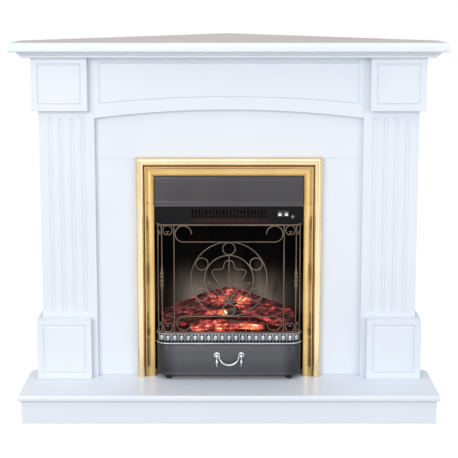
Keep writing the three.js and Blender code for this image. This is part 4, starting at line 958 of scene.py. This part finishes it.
def makeGuard():
    plane, wire, centre = guard["plane"], guard["wire"], guard["centre"]
    rails = [bowRun(roundSection(guard["setback"], height, guard["rail"], 12)) for height in
             (guard["top"], guard["foot"])]
    pieces = []
    for along in guard["posts"]:
        for side in (-1, 1):
            pieces.append(bendWire((side * along, guard["foot"]), 90,
                                   [("run", guard["top"] - guard["foot"])], wire * 1.1, plane))
    pieces.append(ringWire((0, plane, centre), guard["outerRing"], wire, 96))
    pieces.append(ringWire((0, plane, centre), guard["innerRing"], wire, 72))
    pitch = (guard["outerRing"] + guard["innerRing"]) / 2
    small = ringWire((0, plane, centre + pitch), guard["smallRing"], wire, 36)
    for i in range(1, 6):
        turn = math.pi / 2 + i * math.pi / 3
        pieces.append(copyPiece(small, (pitch * math.cos(turn), 0, pitch * (math.sin(turn) - 1))))
    pieces.append(small)
    pieces.append(scrollWire(centre + guard["outerRing"], guard["topScroll"], 1))
    pieces.append(scrollWire(centre - guard["outerRing"] - wire / 2, guard["footScroll"], -1))
    for side in (-1, 1):
        pieces.append(hornRing(side * guard["hornPlace"], guard["top"] - guard["horn"] - 1.2, 1))
        pieces.append(hornRing(side * guard["hornPlace"], guard["foot"] + guard["horn"] + 1.2, -1))
        for lift, rail in ((1, guard["top"]), (-1, guard["foot"])):
            narrow = hornRing(0, rail - lift * (guard["horn"] + 1.2), lift)
            narrow.scale.x = 0.6
            narrow.location.x = side * guard["endHorn"] * mm
            pieces.append(settle(narrow))
    pieces += palmette()
    flat = wrapOnBow(joinPieces(pieces))
    spindle = spindlePost()
    whole = joinPieces([flat, *rails, spindle, mirrorPiece(spindle)])
    finishPiece(whole, "guard_wirework", pewter, stands=["guard"], smooth=55)


# ---- cast fret

fret = {
    "bead": 183.5, "beadRadius": 2.5, "bottom": 186.0, "top": 211.1, "thickness": 2.0, "lip": 1.8,
    "pitch": 18.3, "eggsPerSide": 10, "eggHalfWidth": 5.0, "eggHalfHeight": 8.6, "eggProud": 3.6,
}


def oneEgg():
    pick(viewer)
    middle = (fret["bottom"] + fret["top"]) / 2
    bpy.ops.mesh.primitive_uv_sphere_add(segments=18, ring_count=12, radius=1.0 * mm)
    egg = bpy.context.object
    egg.scale = (fret["eggHalfWidth"], fret["eggProud"], fret["eggHalfHeight"])
    settle(egg)
    for vertex in egg.data.vertices:  # fuller above, narrower at its foot
        share = vertex.co.z / (fret["eggHalfHeight"] * mm)
        vertex.co.x *= 1.0 + 0.20 * share
        vertex.co.y *= 1.0 + 0.12 * share
    egg.location = (0, bow["face"] * mm, middle * mm)
    settle(egg)
    width = fret["eggHalfWidth"] + 1.9
    rim = bendWire((-width * 1.1, fret["top"] - 2.6), -86, [
        ("run", 9.6), ("turn", width * 0.94, 172), ("run", 9.6)], 0.85, bow["face"] - 0.5, sides=8, grain=2.0)
    return joinPieces([egg, rim])


def oneDart():
    middle = (fret["bottom"] + fret["top"]) / 2
    profile = [(0.4, -9.4), (1.5, -6.6), (1.0, -5.6), (0.7, 0.0), (0.9, 5.0), (1.7, 8.4), (1.7, 9.6)]
    dart = turnPiece(profile, (0, 0, middle), sides=8)
    dart.location.y = (bow["face"] - 0.6) * mm
    return settle(dart)


def makeFret():
    lip, thick = fret["lip"], fret["thickness"]
    top, bottom = fret["top"], fret["bottom"]
    band = bowRun([
        (thick, bottom - 2.5), (thick, top), (-lip + 0.5, top), (-lip, top - 0.5), (-lip, top - 1.5),
        (-lip + 0.7, top - 2.2), (-0.4, top - 2.6), (0.0, top - 3.4), (0.0, bottom + 1.6),
        (-0.8, bottom + 0.9), (-0.8, bottom - 0.6), (0.0, bottom - 1.2), (0.0, bottom - 2.5),
    ])
    bead = bowRun(roundSection(fret["beadRadius"] - lip, fret["bead"], fret["beadRadius"], 18))
    egg, dart = oneEgg(), oneDart()
    count = fret["eggsPerSide"]
    pieces = [copyPiece(egg, (i * fret["pitch"], 0, 0)) for i in range(-count, count + 1)]
    pieces += [copyPiece(dart, ((i + 0.5) * fret["pitch"], 0, 0)) for i in range(-count - 1, count + 1)]
    discard(egg, dart)
    ornament = joinPieces(pieces)
    for piece in (ornament, band, bead):
        piece.data.attributes.new("relief", "FLOAT", "POINT")
    for vertex, spot in zip(ornament.data.vertices, ornament.data.attributes["relief"].data):
        spot.value = min(1.0, max(0.0, (bow["face"] - vertex.co.y / mm) / 1.9))
    for vertex, spot in zip(band.data.vertices, band.data.attributes["relief"].data):
        spot.value = 1.0 if vertex.co.z > (top - 2.3) * mm else 0.05
    for spot in bead.data.attributes["relief"].data:
        spot.value = 1.0
    whole = joinPieces([wrapOnBow(ornament), band, bead])
    finishPiece(whole, "fret_cast", silver, stands=["fret_band"], smooth=45)


# ---- ash-pan cover and its handle

pan = {"foot": 96.0, "height": 84.5, "back": -211.5, "sheet": 1.5, "footX": 164.0, "footY": -232.0}


def makePan():
    low, high, thick = pan["foot"], pan["foot"] + pan["height"], pan["sheet"]
    wall = bowRun([
        (thick, low), (thick, high - 0.4), (thick - 0.4, high), (0.5, high), (0.0, high - 0.5),
        (0.0, high - 3.0), (0.35, high - 3.5), (0.35, high - 4.3), (0.0, high - 4.8), (0.0, low + 4.8),
        (0.35, low + 4.3),
        (0.35, low + 3.6), (0.0, low + 3.0), (0.0, low + 0.5), (0.5, low),
    ], ends=16)
    stations = [bow["flatHalf"] + (bow["halfLength"] - bow["flatHalf"]) * i / 16 for i in range(17)]
    edge = [onBow(-along, 0.7) for along in reversed(stations)] + [onBow(along, 0.7) for along in stations]
    endX, endY = onBow(bow["halfLength"])
    floor = planBoard([*edge, (endX, pan["back"]), (-endX, pan["back"])], low + 0.02, thick)
    cheek = planBoard([(endX - thick, endY - 0.4), (endX - 0.02, endY - 0.4), (endX - 0.02, pan["back"]),
                       (endX - thick, pan["back"])], low + 0.03, pan["height"] - 0.05)
    whole = joinPieces([wall, floor, cheek, mirrorPiece(cheek)])
    finishPiece(whole, "pan_cover_bowed", panGraphite, body="pan", stands=["pan_cover"],
                smooth=35)

    foot = turnPiece([(7.0, 80.3), (7.8, 80.9), (8.0, 82.0), (8.0, 86.0), (7.7, 86.4), (7.7, 87.2),
                      (8.0, 87.6), (8.0, 93.0), (7.6, 94.2), (7.0, 95.0), (7.0, 96.0)],
                     (pan["footX"], pan["footY"], 0), sides=36)
    twin = mirrorPiece(foot)
    finishPiece(foot, "pan_foot_right_turned", rubber, body="pan", stands=["pan_foot_right"])
    finishPiece(twin, "pan_foot_left_turned", rubber, body="pan", stands=["pan_foot_left"])


handle = {
    "x": 33.0, "height": 151.0, "pivot": -262.5, "span": 26.5, "drop": 25.0, "bail": 1.9, "swell": 1.0,
    "petals": 10,
}


def handlePlate():
    x, height = handle["x"], handle["height"]
    dish = turnPiece([
        (7.6, 0), (8.2, 0.5), (8.3, 1.2), (7.7, 1.9), (6.6, 2.2), (6.2, 2.7), (5.4, 3.4), (4.5, 4.2),
        (4.0, 5.4), (3.9, 6.4), (4.4, 7.2), (4.9, 8.4), (5.1, 10.0), (4.9, 11.6), (4.2, 13.0), (3.0, 14.1),
        (1.6, 14.6), (0.4, 14.75),
    ], (x, bow["face"], height), sides=36, lay="forward")
    pick(viewer)
    bpy.ops.mesh.primitive_uv_sphere_add(segments=12, ring_count=8, radius=1.75 * mm)
    petal = bpy.context.object
    petal.scale = (1.0, 0.75, 1.35)
    petal.location = (x * mm, (bow["face"] - 1.8) * mm, (height + 6.3) * mm)
    settle(petal)
    petals = []
    for i in range(handle["petals"]):
        turned = copyPiece(petal)
        editWhole(turned, "VERT")
        bpy.ops.transform.rotate(
            value=2 * math.pi * i / handle["petals"], orient_axis="Y",
            center_override=(x * mm, (bow["face"] - 1.8) * mm, height * mm))
        leaveEdit()
        petals.append(turned)
    discard(petal)
    top = height - 3
    drop = turnPiece([
        (0.4, top - 28), (1.3, top - 27.6), (1.7, top - 26.6), (1.3, top - 25.6), (0.9, top - 24.9),
        (1.1, top - 24.2), (1.9, top - 22.6), (3.0, top - 20.4), (3.7, top - 17.6), (3.9, top - 15.2),
        (3.5, top - 12.8), (2.6, top - 10.6), (2.0, top - 9.4), (2.6, top - 8.6), (2.7, top - 7.8),
        (2.0, top - 7.0), (1.4, top - 5.6), (1.5, top - 3), (1.9, top),
    ], (x, bow["face"] - 4.4, 0), sides=24)
    return joinPieces([dish, *petals, drop])


def bailBow():
    steps = 36
    pick(viewer)
    bpy.ops.mesh.primitive_circle_add(vertices=14, radius=handle["bail"] * mm, fill_type="NGON")
    piece = bpy.context.object
    centre = Vector((0, handle["pivot"] * mm, handle["height"] * mm))
    piece.location = centre + Vector((-handle["span"] * mm, 0, 0))
    settle(piece)
    editWhole(piece)
    girth = handle["bail"]
    for i in range(steps):
        bpy.ops.mesh.spin(steps=1, angle=math.pi / steps, center=centre, axis=(0, 1, 0))
        turn = math.pi * (i + 1) / steps
        ridge = 0.5 if i in (15, 19) else 0.0
        wanted = handle["bail"] + handle["swell"] * math.sin(turn) ** 2 + ridge
        spot = centre + Vector((-math.cos(turn), 0, -math.sin(turn))) * handle["span"] * mm
        bpy.ops.transform.resize(value=[wanted / girth] * 3, center_override=spot)
        girth = wanted
    leaveEdit()
    faceOut(piece)
    piece.scale.z = handle["drop"] / handle["span"]
    piece.location.z = handle["height"] * mm * (1 - piece.scale.z)
    return settle(piece)


def makeHandle():
    plate = handlePlate()
    twin = mirrorPiece(plate)
    for piece, side in ((plate, "right"), (twin, "left")):
        finishPiece(piece, "handle_rosette_" + side, chrome, body="pan",
                    stands=["handle_plate_" + side])
    pin = turnPiece([(1.75, 0), (1.75, 5.5), (1.3, 6.0)],
                    (handle["span"] - 1, handle["pivot"], handle["height"]), sides=16, lay="across")
    whole = joinPieces([bailBow(), pin, mirrorPiece(pin)])
    finishPiece(whole, "handle_bail_drop", chrome, body="bail", stands=["handle_bail"])


# ---- hood and controls

hood = {"half": 200.0, "back": -206.3, "sheet": 1.5, "round": 1.6}


def makeHood():
    line = [(-231.4, 555.8), (-231.3, 557.6), (-225.6, 565.6), (-224.4, 569.0), (-222.9, 623.4),
            (-219.2, 627.4), (-218.6, 633.2), (-216.0, 636.6)]
    section = [*line, (hood["back"], 636.6), (hood["back"], 555.8)]
    piece = runAcross(section, -hood["half"], hood["half"])
    chooseFaces(piece, lambda face: (face.normal.z < -0.9 and face.calc_center_median().z < 0.557)
                or face.normal.y > 0.9)
    bpy.ops.mesh.delete(type="FACE")
    leaveEdit()
    applyModifier(piece, "BEVEL", width=hood["round"] * mm, segments=4, limit_method="ANGLE",
                  angle_limit=math.radians(14), use_clamp_overlap=True)
    applyModifier(piece, "SOLIDIFY", thickness=hood["sheet"] * mm, offset=-1)
    faceOut(piece)
    finishPiece(piece, "hood_pressed", graphite, stands=["hood"], smooth=30)


controls = {
    "control_panel": {"material": controlBlack, "ease": 0.3},
    "switch_bezel": {"material": blackPlastic, "ease": 0.4},
    "switch_body": {"material": blackPlastic, "ease": 0.4},
    "dimmer_body": {"material": blackPlastic, "ease": 0.4},
    "heat_rocker": {"material": ivory, "ease": 0.5, "sharp": 20, "body": "heat_switch"},
    "fan_rocker": {"material": ivory, "ease": 0.5, "sharp": 20, "body": "fan_switch"},
    "dimmer_knob": {"material": knobIvory, "ease": 0.3, "sharp": 50, "body": "dimmer"},
}


# ---- fire bed and logs

bed = {
    "half": 188.0, "front": -227.5, "back": -111.5, "top": 206.0, "slope": 12.0, "thickness": 3.0,
    "rippleFrom": -323.5, "foot": 97.8, "rearHeight": 112, "cheekFront": -203.5, "cheekHeight": 100,
}


def bedHeight(x, y):
    front = bed["front"]
    deep = y - bed["rippleFrom"]
    rise = ((y - front) / (bed["back"] - front)) * bed["slope"]
    return bed["top"] + rise + 4 * math.sin(x / 17) * math.cos(deep / 13) + 3 * math.sin(x / 41 + 1)


# where the painted glow is brighter, and where painted shade darkens the gaps between logs: (x, z, width,
# height, gain)
glowSpots = [
    (-28, 284, 26, 15, 0.50), (-36, 258, 34, 9, 0.42), (-8, 256, 8, 8, 0.50), (0, 308, 10, 15, 0.40),
    (32, 284, 20, 13, 0.66), (38, 258, 16, 10, 0.30), (92, 248, 20, 20, 0.22), (100, 236, 13, 8, 0.25),
    (-114, 256, 9, 8, 0.30), (-66, 236, 24, 6, 0.45), (62, 224, 22, 9, 0.45), (-6, 210, 90, 18, 0.30),
    (-84, 214, 14, 16, 0.20), (16, 246, 18, 12, -1.0), (-106, 240, 30, 7, -0.80), (98, 214, 13, 12, -0.35),
    (-52, 246, 24, 5, -0.55), (62, 240, 24, 5, -0.65), (-20, 268, 46, 4, -0.30),
]


def glowHere(place):
    return sum(gain * math.exp(-((place.x - x) / wide) ** 2 - ((place.z - z) / high) ** 2)
               for x, z, wide, high, gain in glowSpots)


def giveGlow(piece, glowAt):
    mesh = piece.data
    glowLevel = mesh.attributes.new("paintedGlow", "FLOAT", "POINT")
    for vertex, slot in zip(mesh.vertices, glowLevel.data):
        slot.value = glowAt(vertex.co / mm, vertex.normal)


def makeBed():
    pick(viewer)
    width, depth = 2 * bed["half"], bed["back"] - bed["front"]
    bpy.ops.mesh.primitive_grid_add(x_subdivisions=150, y_subdivisions=46, size=1.0 * mm)
    crust = bpy.context.object
    crust.scale = (width, depth, 1)
    crust.location = (0, (bed["front"] + bed["back"]) / 2 * mm, 0)
    settle(crust)
    for vertex in crust.data.vertices:
        x, y = vertex.co.x / mm, vertex.co.y / mm
        crumble = noise.noise(Vector((x / 5, y / 5, 3))) * 1.6
        crumble += noise.noise(Vector((x / 2.2, y / 2.2, 9))) * 0.7
        vertex.co.z = (bedHeight(x, y) + crumble - 0.6) * mm
    applyModifier(crust, "SOLIDIFY", thickness=bed["thickness"] * mm, offset=-1)
    faceOut(crust)
    half, back = bed["half"], bed["back"]
    foot, front, wall = bed["foot"], bed["cheekFront"], bed["thickness"]
    rear = planBoard([(-half, back - wall), (half, back - wall), (half, back), (-half, back)],
                     foot, bed["rearHeight"])
    cheek = planBoard([(half - wall, front), (half, front), (half, back - 1), (half - wall, back - 1)],
                      foot, bed["cheekHeight"])
    whole = joinPieces([crust, rear, cheek, mirrorPiece(cheek)])

    def glowAt(place, normal):
        if place.z < 190:
            return -0.3
        # the painted glow fades towards the back of the bed
        return 0.16 + glowHere(place) + 0.30 * noise.noise(place / 19) - 0.22 * (place.y > -190)

    giveGlow(whole, glowAt)
    finishPiece(whole, "ember_bed_crust", emberGlow, stands=["ember_bed"], smooth=60)


# split lumps wedged between the logs: (x, y, z, size)
chunks = [
    (1, -160, 303, 14), (-14, -179, 262, 13), (10, -177, 268, 14), (34, -179, 258, 12),
    (-38, -183, 250, 11), (2, -165, 284, 13), (58, -189, 244, 10), (-64, -191, 240, 9),
    (96, -189, 238, 9), (-104, -189, 236, 9), (20, -203, 244, 8),
]


coals = {"seed": 7, "shapes": 6, "count": 150, "small": 2.6, "large": 6.6}


def makeCoals():
    random.seed(coals["seed"])
    pieces = []
    shapes = []
    for i in range(coals["shapes"]):
        pick(viewer)
        bpy.ops.mesh.primitive_ico_sphere_add(subdivisions=2, radius=1.0 * mm)
        coal = bpy.context.object
        for vertex in coal.data.vertices:
            way = vertex.co.normalized()
            reach = 1.0 + 0.34 * noise.noise(way * 1.7 + Vector((i * 5, 0, 0)))
            vertex.co = Vector((way.x, way.y, way.z * 0.8)) * reach * mm
        shapes.append(coal)
    for i in range(coals["count"]):
        size = random.uniform(coals["small"], coals["large"])
        x = random.uniform(-178, 178)
        y = random.choice([random.uniform(-225, -207), random.uniform(-221, -121)])
        twin = copyPiece(random.choice(shapes))
        twin.scale = [size * random.uniform(0.8, 1.25), size, size * random.uniform(0.7, 1.0)]
        twin.rotation_euler = [random.uniform(0, 6.28) for _ in range(3)]
        settle(twin)
        y = min(max(y, bed["front"] + size + 2), bed["back"] - size - 4)
        x = min(max(x, -bed["half"] + size + 2), bed["half"] - size - 2)
        twin.location = (x * mm, y * mm, (bedHeight(x, y) + size * 0.35) * mm)
        pieces.append(settle(twin))
    for x, y, z, size in chunks:
        twin = copyPiece(random.choice(shapes))
        twin.scale = [size * random.uniform(1.0, 1.7), size * 0.8, size * random.uniform(0.55, 0.8)]
        twin.rotation_euler = [random.uniform(-tip, tip) for tip in (0.5, 0.7, 0.6)]
        settle(twin)
        twin.location = (x * mm, y * mm, z * mm)
        pieces.append(settle(twin))
    discard(*shapes)
    whole = joinPieces(pieces)

    def glowAt(place, normal):
        # painted shade: upward faces glow less
        return 0.26 + glowHere(place) + 0.34 * noise.noise(place / 14) - 0.10 * normal.z

    giveGlow(whole, glowAt)
    finishPiece(whole, "ember_coals", emberGlow, smooth=35)


logs = {
    "log_left": {"start": (-182, -173.5, 231), "end": (6, -155.5, 292),
                 "radius": 28, "seed": 3, "glowLevel": 0.26},
    "log_right": {"start": (179, -181.5, 229), "end": (4, -153.5, 296),
                  "radius": 28, "seed": 11, "glowLevel": 0.26},
    "log_middle": {"start": (-158, -205.5, 226), "end": (-6, -199.5, 257),
                   "radius": 17.5, "seed": 23, "glowLevel": 0.3},
    "log_small": {"start": (160, -211.5, 223), "end": (16, -197.5, 263),
                  "radius": 17.5, "seed": 31, "glowLevel": 0.28},
    "log_front": {"start": (-106, -215.5, 218), "end": (98, -217.5, 220),
                  "radius": 17.5, "seed": 42, "glowLevel": 0.34},
}


# One split log: a many-sided billet whose flats come from a few cleft planes, with torn ends
def makeLog(name, spec):
    chance = random.Random(spec["seed"])
    start, end = Vector(spec["start"]), Vector(spec["end"])
    length = (end - start).length
    stations, sides = 84, 60
    radius = spec["radius"]
    profile = [(radius * 0.55, 0), (radius * 0.9, 0.5)]
    profile += [(radius, length * i / stations) for i in range(1, stations)]
    profile += [(radius * 0.9, length - 0.5), (radius * 0.55, length)]
    billet = turnPiece(profile, sides=sides)
    clefts = []
    for i in range(6):
        angle = math.pi * 2 * i / 6 + chance.uniform(-0.32, 0.32)
        clefts.append((angle, chance.uniform(0.76, 1.0), chance.uniform(-0.5, 0.5)))
    drift = Vector((spec["seed"] * 7.3, 0, 0))
    edges = []
    for vertex in billet.data.vertices:
        x, y, z = vertex.co / mm
        angle, reach, share = math.atan2(y, x), math.hypot(x, y) / radius, z / length
        bends = []
        for turn, distance, twist in clefts:
            lean = math.cos(angle - turn - twist * share)
            wave = 1 + 0.12 * math.sin(share * 5 + twist * 9)
            bends.append(distance * wave / max(0.25, lean) if lean > 0 else 9)
        bends.sort()
        cut = min(bends[0], 1.18)
        edges.append(max(0.0, 1.0 - (bends[1] - bends[0]) * 7.0))
        taper = 0.72 + 0.28 * math.sin(math.pi * min(0.97, 0.07 + share * 0.9)) ** 0.5
        fibre = noise.noise(Vector((math.cos(angle) * 5.5, math.sin(angle) * 5.5, share * 3.2)) + drift)
        fine = noise.noise(Vector((math.cos(angle) * 15, math.sin(angle) * 15, share * 11)) + drift)
        lump = noise.noise(Vector((math.cos(angle) * 1.2, math.sin(angle) * 1.2, share * 6)) + drift)
        new = radius * reach * cut * taper * (1 + 0.075 * fibre + 0.035 * fine + 0.10 * lump)
        tear = noise.noise(Vector((x / 5, y / 5, 0)) + drift) * 5.0 if share < 0.02 or share > 0.98 else 0.0
        vertex.co = Vector((math.cos(angle) * new, math.sin(angle) * new * 0.92, z + tear)) * mm
    billet.rotation_mode = "QUATERNION"
    billet.rotation_quaternion = (end - start).to_track_quat("Z", "Y")
    billet.location = start * mm
    settle(billet)
    for vertex in billet.data.vertices:
        share = (vertex.co / mm - start).dot(end - start) / length ** 2
        vertex.co.z += 3 * math.sin(math.pi * min(1, max(0, share))) * mm
    normals = [vertex.normal.copy() for vertex in billet.data.vertices]
    glowLevel = billet.data.attributes.new("paintedGlow", "FLOAT", "POINT")
    for i, vertex in enumerate(billet.data.vertices):
        place = vertex.co / mm
        centred = math.exp(-(place.x / 90) ** 2)
        # painted highlight along the cleft edges, and painted shade on upward faces
        rim = edges[i] * (0.30 + noise.noise(place / 17)) * (0.25 + 0.6 * centred)
        glowLevel.data[i].value = spec["glowLevel"] + glowHere(place) + rim - 0.12 * max(0, normals[i].z)
    finishPiece(billet, name + "_split", logGlow, stands=[name], smooth=60)


# ---- what stands inside, and the back

screws = {
    "x": 209, "upright": (112, 252, 392, 532, 660), "row": (-105, 0, 105), "ends": (104, 668), "y": -5.0,
}


def machineScrews():
    head = [(3.4, 0.0), (3.5, 0.5), (3.3, 1.2), (2.6, 1.9), (1.5, 2.3), (0.5, 2.4)]
    screw = turnPiece(head, sides=20, lay="backward")
    spots = [(x, z) for x in (-screws["x"], screws["x"]) for z in screws["upright"]]
    spots += [(x, z) for x in screws["row"] for z in screws["ends"]]
    pieces = [copyPiece(screw, (x, screws["y"], z)) for x, z in spots]
    discard(screw)
    whole = joinPieces(pieces)
    finishPiece(whole, "rear_cover_screws", zincSteel)


insides = {
    "firebox_shell": {"material": blackSheet, "ease": 0.4},
    "rear_cover": {"material": blackSheet, "ease": 0.4},
    "cord_inlet": {"material": blackPlastic, "ease": 0.4},
    "shell_skid": {"material": rubber, "ease": 1.0},
    "flame_screen": {"material": flamePanel, "ease": 0.5},
    "lamp_right": {"material": lampGlass, "ease": 0.2, "sharp": 60, "smooth": 60},
    "lamp_left": {"material": lampGlass, "ease": 0.2, "sharp": 60, "smooth": 60},
    "lamp_holders": {"material": zincSteel, "ease": 0.4},
    "flame_motor": {"material": blackPlastic, "ease": 0.5},
    "flame_spindle": {"material": zincSteel, "ease": 0.15, "sharp": 60, "body": "flame_roller"},
    "blower_housing": {"material": zincSteel, "ease": 0.3},
    "blower_motor": {"material": blackPlastic, "ease": 0.5},
    "blower_rotor": {"material": zincSteel, "ease": 0.15, "sharp": 60, "body": "blower"},
    "heater_element": {"material": heaterGlow, "ease": 0.15, "sharp": 60},
}


def easeNodes(specs):
    for name, spec in specs.items():
        easeNode(name, **spec)


makeSurround()
print("surround and hearth dressed")
makeTrim()
print("brass trim made")
makeGuard()
makeFret()
print("guard and fret made")
makePan()
makeHandle()
print("ash pan and handle made")
makeHood()
easeNodes(controls)
print("hood and controls made")
makeBed()
makeCoals()
for logName, logSpec in logs.items():
    makeLog(logName, logSpec)
print("fire bed and logs made")
easeNodes(insides)
machineScrews()
print("inside and back made")


# ---- studio

def glossSight(tree):
    path = put(tree, "LightPath").outputs
    seen = plus(tree, path["Is Camera Ray"], path["Is Glossy Ray"], clamp=True)
    return plus(tree, seen, path["Is Transmission Ray"], clamp=True)


def makeWorld():
    world = bpy.data.worlds.new("studio")
    scene.world = world
    world.use_nodes = True
    tree = world.node_tree
    sky = tree.nodes["Background"]
    sky.inputs["Color"].default_value = (1.0, 1.0, 1.0, 1.0)
    strength = put(tree, "MapRange", {0: glossSight(tree), 1: 0.0, 2: 1.0, 3: 0.60, 4: 1.0}).outputs[0]
    tree.links.new(strength, sky.inputs["Strength"])


def makeFloor():
    pick(viewer)
    bpy.ops.mesh.primitive_plane_add(size=30, location=(0, 0, 0))
    floor = bpy.context.object
    floor.name = "studio_floor"
    material, tree, shader = newFinish("studio floor", Roughness=1.0)
    shader.inputs["Base Color"].default_value = (0.5, 0.5, 0.5, 1.0)
    shader.inputs["Emission Color"].default_value = (1.0, 1.0, 1.0, 1.0)
    tree.links.new(times(tree, glossSight(tree), 0.72), shader.inputs["Emission Strength"])
    floor.data.materials.append(material)


def areaLamp(name, place, aim, size, power, tint=(1.0, 1.0, 1.0)):
    way = Vector(aim) - Vector(place)
    bpy.ops.object.light_add(type="AREA", location=place, rotation=way.to_track_quat("-Z", "Y").to_euler())
    lamp = bpy.context.object
    lamp.name = name
    lamp.data.shape = "RECTANGLE"
    lamp.data.size, lamp.data.size_y = size
    lamp.data.energy = power
    lamp.data.color = tint


# A dark card that only polished metal sees
def darkCard(name, place, aim, size, shade):
    way = Vector(aim) - Vector(place)
    bpy.ops.mesh.primitive_plane_add(size=1, location=place, rotation=way.to_track_quat("-Z", "Y").to_euler())
    card = bpy.context.object
    card.name = name
    card.scale = (size[0], size[1], 1)
    material, _, shader = newFinish(name, Roughness=1.0)
    shader.inputs["Base Color"].default_value = (0.0, 0.0, 0.0, 1.0)
    shader.inputs["Emission Color"].default_value = (*shade, 1.0)
    shader.inputs["Emission Strength"].default_value = 1.0
    card.data.materials.append(material)
    card.visible_camera = False
    card.visible_diffuse = False
    card.visible_shadow = False
    card.visible_transmission = False


makeWorld()
makeFloor()
areaLamp("key lamp", (-1.9, -3.8, 1.9), (0, 0, 0.5), (2.0, 1.8), 70, (1.0, 0.99, 0.97))
areaLamp("fill lamp", (2.6, -3.2, 1.2), (0, 0, 0.5), (2.0, 1.8), 34, (0.95, 0.97, 1.0))
areaLamp("top lamp", (0.0, -1.6, 3.4), (0, 0, 0.3), (2.8, 2.2), 20)
darkCard("card left", (-1.7, -1.3, 0.6), (0, -0.25, 0.4), (0.35, 2.4), (0.26, 0.20, 0.14))
darkCard("card right", (1.7, -1.3, 0.6), (0, -0.25, 0.4), (0.35, 2.4), (0.26, 0.20, 0.14))
darkCard("card front", (0.0, -3.4, 0.1), (0, -0.25, 0.5), (2.6, 0.4), (0.35, 0.30, 0.24))

scene.view_settings.view_transform = "Standard"

print("studio set")
